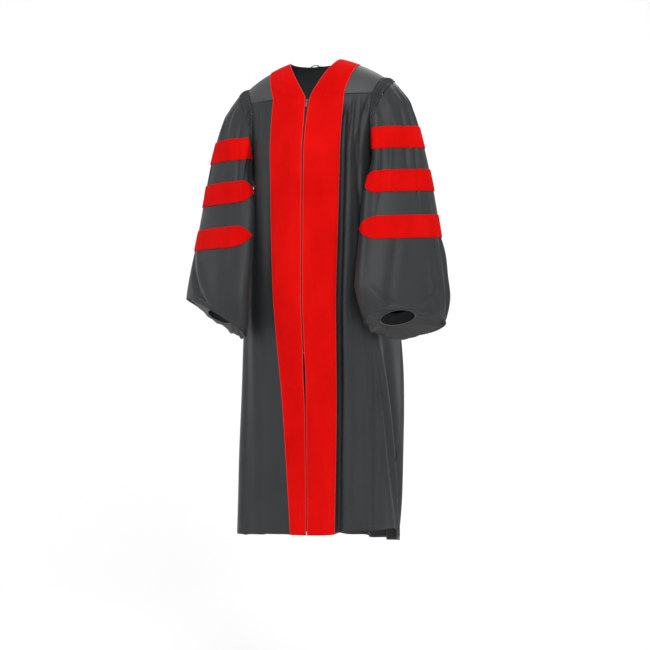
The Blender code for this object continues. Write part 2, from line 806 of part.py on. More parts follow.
def tape_rows(side):
    """A strip behind the front's first column, from the top of the zip to its end."""
    front = front_rows(side)
    pairs = [(row[0], row[1]) for row in front]
    rows = []
    for number in range(1, len(pairs)):
        for share in (0.2, 1.0) if number == 1 else (1.0,):
            before, after = pairs[number - 1], pairs[number]
            ends = blend_rings(before, after, share, 0.0)
            if ends[0][2] < ZIP_END_Z:
                continue
            row = []
            for x in (TAPE_INNER, TAPE_OUTER):
                place = (x - abs(ends[0][0])) / (abs(ends[1][0]) - abs(ends[0][0]))
                row.append(tuple(ends[0][k] + (ends[1][k] - ends[0][k]) * place for k in range(3)))
            rows.append(row)
    return moved_out(rows, -side * (CLOTH + LAYER_GAP))


def placed(obj, z, forward):
    """Puts a small zip piece on the centre front, turned with its slope."""
    y, lean = front_middle(z)
    obj.location = (0.0, y - forward * math.cos(lean), z + forward * math.sin(lean))
    obj.rotation_euler = (-lean, 0.0, 0.0)


def side_outline(name, outline, width, holes=()):
    """A flat shape in the Y-Z plane, as thick as width along X, made a mesh."""
    curve = bpy.data.curves.new(name, "CURVE")
    curve.dimensions = "2D"
    curve.fill_mode = "BOTH"
    curve.extrude = width / 2.0
    for points in (outline, *holes):
        spline = curve.splines.new("POLY")
        spline.points.add(len(points) - 1)
        for point, (across, up) in zip(spline.points, points):
            point.co = (across, up, 0.0, 1.0)
        spline.use_cyclic_u = True
    helper = bpy.data.objects.new(name + "_curve", curve)
    bpy.context.scene.collection.objects.link(helper)
    graph = bpy.context.evaluated_depsgraph_get()
    mesh = bpy.data.meshes.new_from_object(helper.evaluated_get(graph))
    bpy.data.objects.remove(helper)
    welded = bmesh.new()
    welded.from_mesh(mesh)
    bmesh.ops.remove_doubles(welded, verts=welded.verts, dist=0.00002)
    welded.to_mesh(mesh)
    welded.free()
    return mesh


def box_mesh(name, size, centre):
    block = bmesh.new()
    bmesh.ops.create_cube(block, size=1.0)
    for vert in block.verts:
        vert.co = [centre[k] + vert.co[k] * size[k] for k in range(3)]
    mesh = bpy.data.meshes.new(name)
    block.to_mesh(mesh)
    block.free()
    return mesh


def turned_upright(mesh):
    """Turns a flat shape drawn in X-Y so that it lies in the Y-Z plane, thick along X."""
    for vert in mesh.vertices:
        across, up, thick = vert.co
        vert.co = (thick, across, up)
    return mesh


def build_zip(collection, cutters):
    for side, word in ((1, "left"), (-1, "right")):
        rows = settled(tape_rows(side))
        grid_object(collection, "zip_tape_" + word, rows, TAPE, TAPE_GREY, side < 0)
    half = SLIDER_LENGTH / 2.0
    size = (SLIDER_WIDTH, SLIDER_THICK, SLIDER_LENGTH)
    body = box_mesh("zip_slider", size, (0.0, -SLIDER_THICK / 2.0, 0.0))
    slider = finish_object(collection, "zip_slider", body, 0.0, METAL, 1.0)
    foot, shoulder = half * BRIDGE_FOOT, half * BRIDGE_TOP
    top = -SLIDER_THICK - BRIDGE_HEIGHT
    base = -SLIDER_THICK + BRIDGE_SINK
    outline = [(base, -foot), (base, foot), (top, shoulder), (top, -shoulder)]
    low = -SLIDER_THICK - BRIDGE_ROOM
    high = top + BRIDGE_WALL
    hole = [(low, -HOLE_HALF), (low, HOLE_HALF), (high, HOLE_HALF), (high, -HOLE_HALF)]
    bridge_mesh = turned_upright(side_outline("bridge", outline, BRIDGE_WIDTH, (hole,)))
    bridge = finish_object(cutters, "bridge", bridge_mesh, 0.0, METAL, 1.0)
    bridge.hide_render = True
    bridge.display_type = "WIRE"
    join = slider.modifiers.new("Bridge", "BOOLEAN")
    join.operation = "UNION"
    join.object = bridge
    placed(slider, SLIDER_Z, -SLIDER_BACK)
    placed(bridge, SLIDER_Z, -SLIDER_BACK)
    build_pull(collection, half)
    stop = box_mesh("zip_stop", (STOP_WIDTH, STOP_THICK, STOP_LENGTH), (0.0, -STOP_THICK / 2.0, 0.0))
    placed(finish_object(collection, "zip_stop", stop, 0.0, METAL, 1.0), STOP_Z, -SLIDER_BACK)


def build_pull(collection, half):
    """The tab that hangs from the slider's bridge, with a window round it."""
    side = PULL_WIDTH / 2.0
    bend = -PULL_LENGTH * PULL_SHOULDER
    outer = [
        (-side, PULL_BAR), (side, PULL_BAR), (side, bend),
        (side / 2.0, -PULL_LENGTH), (-side / 2.0, -PULL_LENGTH), (-side, bend),
    ]
    reach = BRIDGE_WIDTH / 2.0 + PULL_ROOM
    end = -half - PULL_END
    window = [(-reach, -PULL_BAR), (reach, -PULL_BAR), (reach, end), (-reach, end)]
    pull_mesh = side_outline("zip_pull", outer, PULL_THICK, (window,))
    for vert in pull_mesh.vertices:
        across, up, thick = vert.co
        vert.co = (across, -thick, up)
    pull = finish_object(collection, "zip_pull", pull_mesh, 0.0, METAL, 1.0)
    forward = SLIDER_THICK + BRIDGE_HEIGHT * PULL_STAND
    placed(pull, SLIDER_Z, forward - SLIDER_BACK)


def build_loop(collection):
    """The small hanging loop that stands just inside the back neck."""
    curve = bpy.data.curves.new("neck_loop", "CURVE")
    curve.dimensions = "3D"
    curve.bevel_depth = LOOP_RADIUS
    curve.bevel_resolution = 1
    curve.use_fill_caps = True
    steps = 12
    spline = curve.splines.new("POLY")
    spline.points.add(steps)
    for step, point in enumerate(spline.points):
        turn = math.pi * step / steps
        x = LOOP_X + LOOP_HALF * math.cos(turn)
        degrees = neck_degrees(x)
        edge = arch_point(x, degrees)
        up = LOOP_RISE * math.sin(turn) - LOOP_SINK
        point.co = (x, edge[1] - LOOP_IN, edge[2] + up, 1.0)
    loop = bpy.data.objects.new("neck_loop", curve)
    collection.objects.link(loop)
    material = bpy.data.materials.new("neck_loop")
    material.use_nodes = True
    material.node_tree.nodes["Principled BSDF"].inputs["Base Color"].default_value = CHARCOAL
    curve.materials.append(material)


def main():
    clear_scene()
    collection = make_collection("graduation_gown")
    cutters = make_collection("cutters")
    build_fronts(collection)
    build_back(collection)
    build_sleeves(collection)
    build_zip(collection, cutters)
    build_loop(collection)


if __name__ == "__main__":
    main()
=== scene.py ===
"""The looks of the graduation gown: cloth shells, velvet, shirring, sewing, zip teeth, light and camera."""
import math

import bmesh
import bpy
import numpy as np
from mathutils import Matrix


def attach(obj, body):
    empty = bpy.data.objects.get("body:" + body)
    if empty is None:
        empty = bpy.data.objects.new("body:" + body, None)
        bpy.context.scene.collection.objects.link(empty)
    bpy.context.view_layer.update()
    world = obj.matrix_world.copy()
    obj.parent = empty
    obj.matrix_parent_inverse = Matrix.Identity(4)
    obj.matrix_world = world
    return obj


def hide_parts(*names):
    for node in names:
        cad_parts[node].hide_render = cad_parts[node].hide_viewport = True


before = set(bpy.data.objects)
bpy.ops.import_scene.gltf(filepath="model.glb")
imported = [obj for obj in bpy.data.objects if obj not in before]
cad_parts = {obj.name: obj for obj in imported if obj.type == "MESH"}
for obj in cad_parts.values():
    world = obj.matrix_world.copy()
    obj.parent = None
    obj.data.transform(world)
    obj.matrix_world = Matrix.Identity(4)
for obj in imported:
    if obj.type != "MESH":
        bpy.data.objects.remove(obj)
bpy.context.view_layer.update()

# Main sizes
SEAM_GAP = 0.0004
YOKE_SEAM_Z = -0.106
BACK_SEAM_Z = -0.124
ARMPIT_Z = -0.300
HEM_Z = -1.300
NECK_HALF = 0.070
NECK_BACK_Y = 0.049
CREST_Y = 0.010
CREST_GAP = 0.0020
SHOULDER_TIP_X = 0.190
YOKE_CORNER_X = 0.170
ARCH_POWER = 1.85

# Roll of the shoulders: the wearer's left side is a little higher
ROLL = 0.058
ROLL_FULL_Z = -0.42
ROLL_END_Z = -0.72

# Body sections: z, half_width, front_y, side_y, back_y, squareness
BODY = [
    (-0.106, 0.200, -0.095, 0.010, 0.100, 2.40),
    (-0.180, 0.182, -0.130, 0.012, 0.116, 2.30),
    (-0.250, 0.172, -0.153, 0.015, 0.124, 2.20),
    (-0.300, 0.172, -0.156, 0.018, 0.127, 2.15),
    (-0.380, 0.178, -0.159, 0.022, 0.130, 2.10),
    (-0.520, 0.191, -0.163, 0.035, 0.142, 2.10),
    (-0.655, 0.208, -0.165, 0.058, 0.158, 2.10),
    (-0.760, 0.216, -0.149, 0.080, 0.172, 2.15),
    (-0.930, 0.221, -0.124, 0.065, 0.185, 2.20),
    (-1.110, 0.224, -0.114, 0.030, 0.192, 2.20),
    (-1.300, 0.225, -0.110, 0.005, 0.198, 2.20),
]

# Velvet half widths measured from the zip: z, wearers_right, wearers_left
VELVET_AT_SEAM = 0.0986
VELVET_AT_CREST = 0.1235
VELVET_EDGE = [
    (-0.106, VELVET_AT_SEAM, VELVET_AT_SEAM),
    (-0.400, 0.0930, 0.0940),
    (-0.655, 0.0830, 0.0890),
    (-0.930, 0.0660, 0.0830),
    (-1.300, 0.0460, 0.0750),
]

# Crest of the shoulders: x, z
CREST = [
    (0.000, 0.010),
    (0.070, 0.000),
    (0.124, -0.020),
    (0.160, -0.038),
    (0.190, -0.058),
    (0.210, -0.075),
]

# Armhole edge as an angle round the body: z, degrees from the centre
ARMHOLE = [
    (-0.106, 55.5),
    (-0.140, 57.0),
    (-0.180, 62.0),
    (-0.250, 73.0),
    (-0.285, 83.0),
    (-0.300, 90.0),
]

# Folds of the body, side 1 is the wearer's left and -1 the right:
# side, beside_velvet, angle_top, angle_hem, width, depth, z_top, z_full
FOLDS = [
    (1, True, 3.8, 3.4, 3.6, -0.0150, -0.112, -0.170),
    (1, True, 9.5, 9.0, 3.6, 0.0045, -0.112, -0.160),
    (1, False, 52.0, 54.0, 12.0, 0.0100, -0.280, -0.700),
    (1, False, 6.3, 90.0, 5.0, 0.0080, -0.660, -0.860),
    (1, False, 17.0, 100.0, 6.0, -0.0150, -0.640, -0.900),
    (1, False, 97.0, 101.0, 8.0, 0.0120, -0.560, -0.900),
    (1, False, 52.0, 50.0, 3.0, -0.0050, -0.112, -0.150),
    (-1, True, 4.5, 4.0, 5.0, -0.0050, -0.120, -0.400),
    (-1, False, 62.0, 60.0, 9.0, 0.0050, -0.300, -0.900),
    (-1, False, 79.0, 82.0, 6.0, -0.0070, -0.500, -1.000),
    (-1, False, 97.0, 99.0, 7.0, 0.0080, -0.500, -1.000),
]
BACK_FLUTES = 8
FLUTE_DEPTH = 0.0130
FLUTE_START_Z = -0.220
FLUTE_FULL_Z = -1.000
FLUTE_UNEVEN = 0.3

# How far the hem hangs below its row: degrees round the body, drop
HEM_DROP = [
    (-180, 0.020),
    (-110, 0.018),
    (-88, 0.000),
    (-60, -0.004),
    (-25, -0.0125),
    (0, -0.0135),
    (16, -0.0165),
    (26, -0.024),
    (40, -0.026),
    (82, -0.026),
    (97, 0.006),
    (112, 0.020),
    (150, 0.024),
    (180, 0.020),
]
HEM_START_Z = -1.000

# Half width of the front opening: z, half_gap
FRONT_GAP = [
    (-0.106, 0.0062),
    (-0.120, 0.0038),
    (-0.140, 0.0034),
    (-0.190, 0.0017),
    (-0.780, 0.0013),
    (-0.850, 0.0024),
    (-0.960, 0.0011),
    (-1.300, 0.0011),
]

# Sleeve sections: z, centre_x, centre_y, half_broad, half_thin, turn in degrees
SLEEVE = [
    (-0.100, 0.222, 0.004, 0.050, 0.042, 10.0),
    (-0.240, 0.228, -0.004, 0.072, 0.046, 23.0),
    (-0.380, 0.236, -0.036, 0.104, 0.046, 36.0),
    (-0.500, 0.246, -0.059, 0.123, 0.048, 40.0),
    (-0.630, 0.255, -0.088, 0.141, 0.051, 43.0),
    (-0.700, 0.255, -0.092, 0.138, 0.053, 43.0),
    (-0.780, 0.254, -0.094, 0.120, 0.050, 43.0),
]
SLEEVE_JOIN_Z = -0.380
SLEEVE_START_ANGLE = 45.0
SLEEVE_ARCH = 0.24
UNDERARM_REACH = 0.035
FRONT_SWING = -0.10
SHOULDER_FLAT = 0.72
SWING_LENGTH = 0.32
PUSH_FULL = 0.45
SECTION_STEP = 0.03
SECTION_POWER = 0.92
ARMHOLE_POWER = 1.1
ARCH_END = 60.0
HEAD_LENGTH = 0.038
HEAD_LEAST = 0.010
HEAD_STRETCH = 1.05
SHIRR_GATHERS = 24
HEAD_SEAM = 0.0011
RIM_LOW_ANGLE = 258.0
BODY_MARGIN = 0.022
BODY_SOFTNESS = 0.03

# The sleeves' lower edges, for the wearer's left (1) and right (-1)
RIM_Z = {1: -0.713, -1: -0.697}
RIM_DROP = {1: 0.044, -1: 0.026}
RIM_TILT = {1: -0.20, -1: 0.34}

# How far each sleeve draws in beside the body towards its end
END_DRAW = {1: 0.034, -1: 0.0}
DRAW_START_Z = -0.600
DRAW_FULL_Z = -0.760

# Sleeve rows above the rim: z of each row
SLEEVE_ROWS = [
    -0.150, -0.201, -0.231, -0.261, -0.290, -0.319, -0.349, -0.379,
    -0.411, -0.443, -0.473, -0.503, -0.560, -0.620,
]
ROW_STEP = 0.012

# Cuff mouth
MOUTH_X = {1: 0.247, -1: 0.240}
MOUTH_Y = -0.105
MOUTH_Z = {1: -0.700, -1: -0.697}
MOUTH_BROAD = 0.055
MOUTH_THIN = 0.026
MOUTH_SLOPE = 0.80
MOUTH_NARROWS = 0.86
CUFF_DEPTH = 0.028
CUFF_START = 0.00104

# Zip: teeth between the slider and the stop
SLIDER_Z = -0.121
STOP_Z = -0.795
TEETH_ROOM = 0.010
TEETH_START = 0.007
TOOTH_PITCH = 0.0018
TOOTH_ASIDE = 0.0003
TOOTH_BACK = 0.0012
TOOTH_SIZE = (0.0019, 0.0011, 0.001116)

# Neck loop
LOOP_X = -0.012
LOOP_HALF = 0.013
LOOP_RISE = 0.009
LOOP_SINK = 0.006
LOOP_IN = 0.0036
LOOP_THICK = 0.00133
LOOP_STEPS = 28
LOOP_SIDES = 4

# Camera, floor and lights
CAMERA_TURN = 13.0
CAMERA_FAR = 4.5
CAMERA_Z = -0.655
IMAGE_PIXELS = 650.0
SENSOR = 36.0
METRES_PER_PIXEL = 0.00275
ORIGIN_PIXEL_X = 316.0
ORIGIN_PIXEL_Y = 62.0
FLOOR_Z = -1.90
FLOOR_BACK = 3.6
FLOOR_BEND = 1.2
WORLD_STRENGTH = 0.85
KEY_WATTS = 80.0
FILL_WATTS = 14.0
RIM_WATTS = 40.0

# Rows and columns of the body and its yokes, from the zip or the centre outwards
FRONT_VELVET = 12
FRONT_PLAIN = 34
PLAIN_SPREAD = 1.15
FRONT_COUNT_COLUMNS = (FRONT_VELVET + FRONT_PLAIN) * 3 + 1
FRONT_TOP_ROWS = 22
FRONT_LOW_ROWS = 72
YOKE_ROWS = 12
YOKE_PLAIN = 10
NECK_COLUMNS = 16
BACK_COLUMNS = 90
BACK_TOP_ROWS = 14
BACK_LOW_ROWS = 60
BACK_GAP_DEGREES = 0.20

# Soft unevenness of the cloth, and the velvet's rounded edges
FRONT_RIPPLE = 0.0005
FRONT_RIPPLE_LOW = 0.0009
FRONT_RIPPLE_Z = -0.2
YOKE_RIPPLE = 0.0005
BACK_RIPPLE = 0.0012
VELVET_RIPPLE = 0.0003
VELVET_FADE = 1.5
EDGE_ROUND = 0.0009
EDGE_COLUMNS = 0.16

# Gathers below the back yoke
GATHER_START = 0.015
GATHER_END_Z = -0.34
GATHER_FADE = 0.2
GATHER_DEPTH = 0.0016
GATHER_HALF = 0.13

# Stitches: pitch along the seam, and size across, out and along
VELVET_STITCH = 0.0042
VELVET_STITCH_SIZE = (0.0009, 0.0008, 0.003864)
SEAM_STITCH = 0.0034
HEM_STITCH = 0.0036
FRONT_STITCH_SIZE = (0.0005, 0.0004, 0.0024)
STITCH_SINK = 0.0002
STITCH_LIFT = 0.0001

# The shirred bands: coarse and fine gathers, the sewn lines over them and their stitches
HEAD_TURN = 10.0
HEAD_ROWS = 7
HEAD_FINE = 25
HEAD_COLUMNS = 360
SHIRR_TOP = 0.45
SHIRR_WIDE = 0.0016
SHIRR_END_Z = -0.26
SHIRR_FADE = 0.14
SHIRR_FINE_GATHERS = 72.0
SHIRR_FINE = 0.0030
SHIRR_LINES = (0.30, 0.55, 0.80)
SHIRR_LINE_DEPTH = 0.0009
SHIRR_LINE_HALF = 0.035
SHIRR_REACH = 95.0
SHIRR_STITCH_ROWS = ((13, 0), (20, 3))
SHIRR_STITCH_STEP = 6
SHIRR_STITCH_SIZE = (0.0011, 0.0006, 0.0075)

# The sleeves' grids, creases and unevenness
SLEEVE_TURN = 5
SLEEVE_ROUND = 3
SLEEVE_FINE = 3
FIRST_ROW_SHARE = 0.82
HEAD_MIDDLE_Z = -0.09
END_SHARES = (0.3, 0.6, 0.8, 1.0)
SLEEVE_CREASE_SCALE = 1.5
SLEEVE_RIPPLE = 0.0007
SLEEVE_RIPPLE_LOW = 0.0012
SLEEVE_RIPPLE_Z = -0.45
SLEEVE_RIPPLE_FADE = 0.2

# The turned-under ends: share of the way in to the mouth, drop
CUFF_KNOTS = [
    (0.0, 0.0),
    (0.06, -0.003),
    (0.09, 0.006),
    (0.16, 0.012),
    (0.35, 0.013),
    (0.60, 0.012),
    (0.85, 0.007),
    (0.95, 0.002),
]
CUFF_FRONT_LIFT = -1.0

CUFF_FINE = 4
CUFF_INSIDE = 0.0012
CUFF_FINE_FOLD = 0.0012
CUFF_BROAD_FOLD = 0.0085

# The sleeve's end overhangs the turned cuff in front, and the mouth has a raised edge with a pale cord whose
# light grey is a painted highlight
SLEEVE_LIP = 0.006
LIP_OUT = 0.0016
EDGE_BEAD = 0.0018
EDGE_BEAD_HALF = 0.22
EDGE_RADIUS = 0.0010
EDGE_SIDES = 2

# Creases of each piece: first place, first z, last place, last z, half width, depth.
# On fronts and velvet a place is x in metres, on sleeves it is an angle in degrees.
CREASES = {
    "front_left": [
        (0.118, -0.108, 0.116, -0.230, 0.0040, -0.0030),
        (0.134, -0.108, 0.128, -0.300, 0.0045, -0.0038),
        (0.147, -0.110, 0.136, -0.360, 0.0050, -0.0030),
        (0.157, -0.112, 0.150, -0.200, 0.0035, -0.0024),
        (0.126, -0.110, 0.121, -0.260, 0.0040, 0.0022),
        (0.141, -0.110, 0.134, -0.300, 0.0040, 0.0022),
        (0.104, -0.160, 0.0845, -1.290, 0.0060, -0.0130),
        (0.118, -0.180, 0.0990, -1.290, 0.0070, 0.0060),
        (0.120, -0.460, 0.128, -1.250, 0.0120, -0.0030),
        (0.150, -0.700, 0.170, -1.280, 0.0080, 0.0030),
        (0.177, -0.770, 0.222, -1.280, 0.0045, 0.0050),
        (0.187, -0.800, 0.228, -1.240, 0.0070, -0.0050),
        (0.135, -0.820, 0.150, -1.290, 0.0100, -0.0028),
        (0.100, -0.700, 0.094, -1.290, 0.0070, 0.0018),
    ],
    "front_right": [
        (0.112, -0.112, 0.118, -0.260, 0.0060, -0.0020),
        (0.128, -0.110, 0.140, -0.300, 0.0060, 0.0020),
        (0.140, -0.112, 0.152, -0.330, 0.0050, -0.0022),
        (0.120, -0.400, 0.105, -1.200, 0.0150, -0.0026),
        (0.155, -0.560, 0.150, -1.280, 0.0120, 0.0030),
        (0.130, -0.800, 0.125, -1.290, 0.0140, -0.0024),
        (0.180, -0.700, 0.185, -1.250, 0.0090, -0.0030),
    ],
    "velvet_left": [
        (0.014, -0.094, 0.086, -0.050, 0.0065, 0.0036),
        (0.010, -0.122, 0.088, -0.086, 0.0070, 0.0036),
        (0.030, -0.150, 0.092, -0.118, 0.0060, 0.0020),
    ],
    "velvet_right": [
        (0.014, -0.112, 0.090, -0.086, 0.0065, 0.0034),
        (0.030, -0.076, 0.094, -0.058, 0.0055, 0.0028),
        (0.030, -0.700, 0.060, -0.760, 0.0080, 0.0028),
        (0.020, -0.860, 0.050, -0.900, 0.0080, 0.0028),
    ],
    "sleeve_left": [
        (70.0, -0.150, 96.0, -0.420, 0.0060, -0.0034),
        (52.0, -0.140, 70.0, -0.360, 0.0060, 0.0030),
        (30.0, -0.120, 40.0, -0.300, 0.0060, -0.0034),
        (12.0, -0.120, 20.0, -0.340, 0.0040, 0.0030),
        (22.0, -0.260, 28.0, -0.420, 0.0030, -0.0022),
        (5.0, -0.400, -8.0, -0.680, 0.0050, 0.0032),
        (-14.0, -0.470, -22.0, -0.700, 0.0080, -0.0060),
        (-32.0, -0.500, -30.0, -0.700, 0.0070, 0.0050),
        (60.0, -0.480, 75.0, -0.680, 0.0120, -0.0034),
        (20.0, -0.520, 10.0, -0.690, 0.0100, -0.0030),
        (120.0, -0.300, 124.0, -0.640, 0.0100, 0.0030),
        (0.0, -0.610, 40.0, -0.672, 0.0060, -0.0040),
        (100.0, -0.620, 60.0, -0.675, 0.0060, -0.0030),
        (225.0, -0.330, 235.0, -0.680, 0.0120, -0.0040),
        (255.0, -0.180, 262.0, -0.620, 0.0100, 0.0040),
        (290.0, -0.140, 300.0, -0.560, 0.0090, -0.0040),
    ],
    "sleeve_right": [
        (40.0, -0.130, 66.0, -0.300, 0.0060, 0.0034),
        (58.0, -0.140, 88.0, -0.380, 0.0060, -0.0034),
        (20.0, -0.130, 34.0, -0.260, 0.0030, 0.0030),
        (10.0, -0.130, 6.0, -0.360, 0.0070, -0.0030),
        (82.0, -0.170, 104.0, -0.420, 0.0060, 0.0026),
        (-8.0, -0.520, 60.0, -0.690, 0.0080, -0.0060),
        (8.0, -0.500, 72.0, -0.690, 0.0080, 0.0040),
        (70.0, -0.420, 90.0, -0.680, 0.0120, -0.0030),
        (30.0, -0.640, 90.0, -0.700, 0.0060, -0.0040),
        (225.0, -0.330, 235.0, -0.680, 0.0120, -0.0040),
        (255.0, -0.180, 262.0, -0.620, 0.0100, 0.0040),
        (290.0, -0.140, 300.0, -0.560, 0.0090, -0.0040),
    ],
}
DEGREE = 0.0017

# Thickness of the shells, and how far velvet lies above the cloth
SHELL = 0.0011
PILE = 0.0014
LAYER_LIFT = 0.0026

# Velvet bars: heights of their middles, turn round the sleeve, and points at both ends
BAR_CENTRES = [-0.231, -0.349, -0.473]
BAR_HALF = 0.030
BAR_START = -80.0
BAR_END = 141.0
BAR_TIP = 50.0
BAR_POWER = 0.95
BAR_LEAST = 0.0012
BAR_ALONG = 90
BAR_ACROSS = 21
BAR_RIPPLE = 0.0005
BAR_ROUND = 0.0008
BAR_ROUND_SHARE = 0.05


def smooth(low, high, value):
    share = (value - low) / (high - low)
    share = max(0.0, min(1.0, share))
    return share * share * (3.0 - 2.0 * share)


def look_up(table, key):
    """Smooth reading of a table whose first column rises or falls steadily."""
    rising = table[-1][0] > table[0][0]
    rows = table if rising else table[::-1]
    key = max(rows[0][0], min(rows[-1][0], key))
    place = 0
    while place < len(rows) - 2 and key > rows[place + 1][0]:
        place += 1
    low, high = rows[place], rows[place + 1]
    before = rows[max(place - 1, 0)]
    after = rows[min(place + 2, len(rows) - 1)]
    span = high[0] - low[0]
    t = (key - low[0]) / span
    values = []
    for column in range(1, len(low)):
        slope_low = (high[column] - before[column]) / (high[0] - before[0])
        slope_high = (after[column] - low[column]) / (after[0] - low[0])
        value = (2 * t ** 3 - 3 * t ** 2 + 1) * low[column]
        value += (t ** 3 - 2 * t ** 2 + t) * span * slope_low
        value += (3 * t ** 2 - 2 * t ** 3) * high[column]
        value += (t ** 3 - t ** 2) * span * slope_high
        values.append(value)
    return values


def settle(point):
    """The roll of the shoulders, fading out down the gown."""
    x, y, z = point
    share = 1.0 - smooth(-ROLL_FULL_Z, -ROLL_END_Z, -z)
    return (x, y, z + ROLL * share * x)


def power(value, exponent):
    return math.copysign(abs(value) ** exponent, value)


def body_plain(degrees, z):
    """Point of the unfolded body: 0 is the centre front, 90 the wearer's left, 180 the centre back."""
    half, front_y, side_y, back_y, square = look_up(BODY, z)
    turn = math.radians(degrees)
    x = half * power(math.sin(turn), 2.0 / square)
    lean = power(math.cos(turn), 2.0 / square)
    depth = side_y - front_y if lean > 0 else back_y - side_y
    return x, side_y - depth * lean, z


def fold_depth(degrees, z):
    angle = (degrees + 180.0) % 360.0 - 180.0
    side = 1 if angle >= 0 else -1
    share = (z - YOKE_SEAM_Z) / (HEM_Z - YOKE_SEAM_Z)
    edge = angle_at(velvet_width(side, z), z)
    total = 0.0
    for fold_side, beside_velvet, top, hem, width, depth, z_top, z_full in FOLDS:
        if fold_side == side:
            centre = top + (hem - top) * share + (edge if beside_velvet else 0.0)
            away = (abs(angle) - centre) / width
            total += depth * smooth(-z_top, -z_full, -z) * math.exp(-away * away)
    behind = smooth(100.0, 122.0, abs(angle))
    grow = smooth(-FLUTE_START_Z, -FLUTE_FULL_Z, -z)
    wave = math.cos(2.0 * math.pi * BACK_FLUTES * (180.0 - abs(angle)) / 180.0)
    uneven = 1.0 + FLUTE_UNEVEN * math.sin(math.radians(3.0 * angle + 40.0))
    return total + behind * grow * wave * uneven * FLUTE_DEPTH


def hem_drop(degrees):
    return look_up(HEM_DROP, (degrees + 180.0) % 360.0 - 180.0)[0]


def body_point(degrees, z):
    step = 1.0
    x, y, _ = body_plain(degrees, z)
    ax, ay, _ = body_plain(degrees - step, z)
    bx, by, _ = body_plain(degrees + step, z)
    run_x, run_y = bx - ax, by - ay
    length = math.hypot(run_x, run_y)
    lift = fold_depth(degrees, z)
    low = smooth(-HEM_START_Z, -HEM_Z, -z)
    return (x + lift * run_y / length, y - lift * run_x / length, z - low * hem_drop(degrees))


def angle_at(x, z):
    """Angle whose front point lies at this x."""
    half, _, _, _, square = look_up(BODY, z)
    return math.degrees(math.asin(min(1.0, abs(x) / half) ** (square / 2.0)))


def armhole_angle(z):
    return look_up(ARMHOLE, z)[0] if z > ARMPIT_Z else 90.0


def seam_depth(x, seam_z, back):
    half, front_y, side_y, back_y, square = look_up(BODY, seam_z)
    full = back_y - side_y if back else side_y - front_y
    return full * max(0.0, 1.0 - (abs(x) / half) ** square) ** (1.0 / square)


def arch_point(x, degrees):
    """Point of the yoke: 0 degrees is the front seam, 90 the crest, 180 the back seam."""
    turn = math.radians(degrees)
    back = degrees > 90.0
    seam_z = BACK_SEAM_Z if back else YOKE_SEAM_Z
    depth = seam_depth(x, seam_z, back)
    top = look_up(CREST, abs(x))[0]
    y = CREST_Y - depth * power(math.cos(turn), 2.0 / ARCH_POWER)
    z = seam_z + (top - seam_z) * math.sin(turn) ** (2.0 / ARCH_POWER)
    return (x, y, z)


def outer_edge(degrees):
    """Distance of the armhole edge from the middle, along the yoke."""
    rise = math.sin(math.radians(degrees)) ** (2.0 / ARCH_POWER)
    corner = YOKE_CORNER_X
    if degrees > 90.0:
        corner = body_plain(180.0 - armhole_angle(BACK_SEAM_Z), BACK_SEAM_Z)[0]
    return corner + (SHOULDER_TIP_X - corner) * rise


def settled(rows):
    return [[settle(point) for point in row] for row in rows]


def velvet_width(side, z):
    right, left = look_up(VELVET_EDGE, z)
    return left if side > 0 else right


def neck_degrees(x):
    """How far behind the crest the back neck edge lies at this x."""
    share = max(0.0, 1.0 - (x / NECK_HALF) ** 2)
    reach = CREST_GAP + (NECK_BACK_Y - CREST_Y - CREST_GAP) * math.sqrt(share)
    return behind_crest(x, reach)


def behind_crest(x, reach):
    """Angle of the yoke point that lies this far behind the crest."""
    depth = seam_depth(x, BACK_SEAM_Z, True)
    return 90.0 + math.degrees(math.asin(min(1.0, (reach / depth) ** (ARCH_POWER / 2.0))))


def armhole_point(degrees):
    """Point of the armhole: 0 shoulder tip, 60 front corner, 180 armpit, 300 back corner."""
    degrees %= 360.0
    if degrees <= ARCH_END:
        arch = 90.0 * (1.0 - degrees / ARCH_END)
        return arch_point(outer_edge(arch), arch)
    if degrees >= 360.0 - ARCH_END:
        arch = 90.0 + 90.0 * (360.0 - degrees) / ARCH_END
        return arch_point(outer_edge(arch), arch)
    front = degrees <= 180.0
    share = ((degrees if front else 360.0 - degrees) - ARCH_END) / (180.0 - ARCH_END)
    top = YOKE_SEAM_Z if front else BACK_SEAM_Z
    z = top + (ARMPIT_Z - top) * math.sin(share * math.pi / 2.0) ** ARMHOLE_POWER
    angle = armhole_angle(z)
    return body_point(angle if front else 180.0 - angle, z)


def sleeve_section(degrees, z):
    centre_x, centre_y, broad, thin, turn = look_up(SLEEVE, z)
    place = math.radians(degrees + SLEEVE_START_ANGLE)
    turn = math.radians(turn)
    along = broad * power(math.cos(place), SECTION_POWER)
    across = thin * power(math.sin(place), SECTION_POWER)
    x = centre_x + along * math.cos(turn) + across * math.sin(turn)
    y = centre_y + along * math.sin(turn) - across * math.cos(turn)
    return (x, y, z)


def clear_of_body(point, amount):
    """Keeps the sleeve outside the body by a share of the body's own size."""
    x, y, z = point
    half, front_y, side_y, back_y, square = look_up(BODY, min(z, BODY[0][0]))
    depth = side_y - front_y if y < side_y else back_y - side_y
    reach = ((abs(x) / half) ** square + (abs(y - side_y) / depth) ** square) ** (1.0 / square)
    need = 1.0 + amount
    wanted = 0.5 * (reach + need + math.hypot(reach - need, BODY_SOFTNESS))
    scale = wanted / reach
    return (x * scale, side_y + (y - side_y) * scale, z)


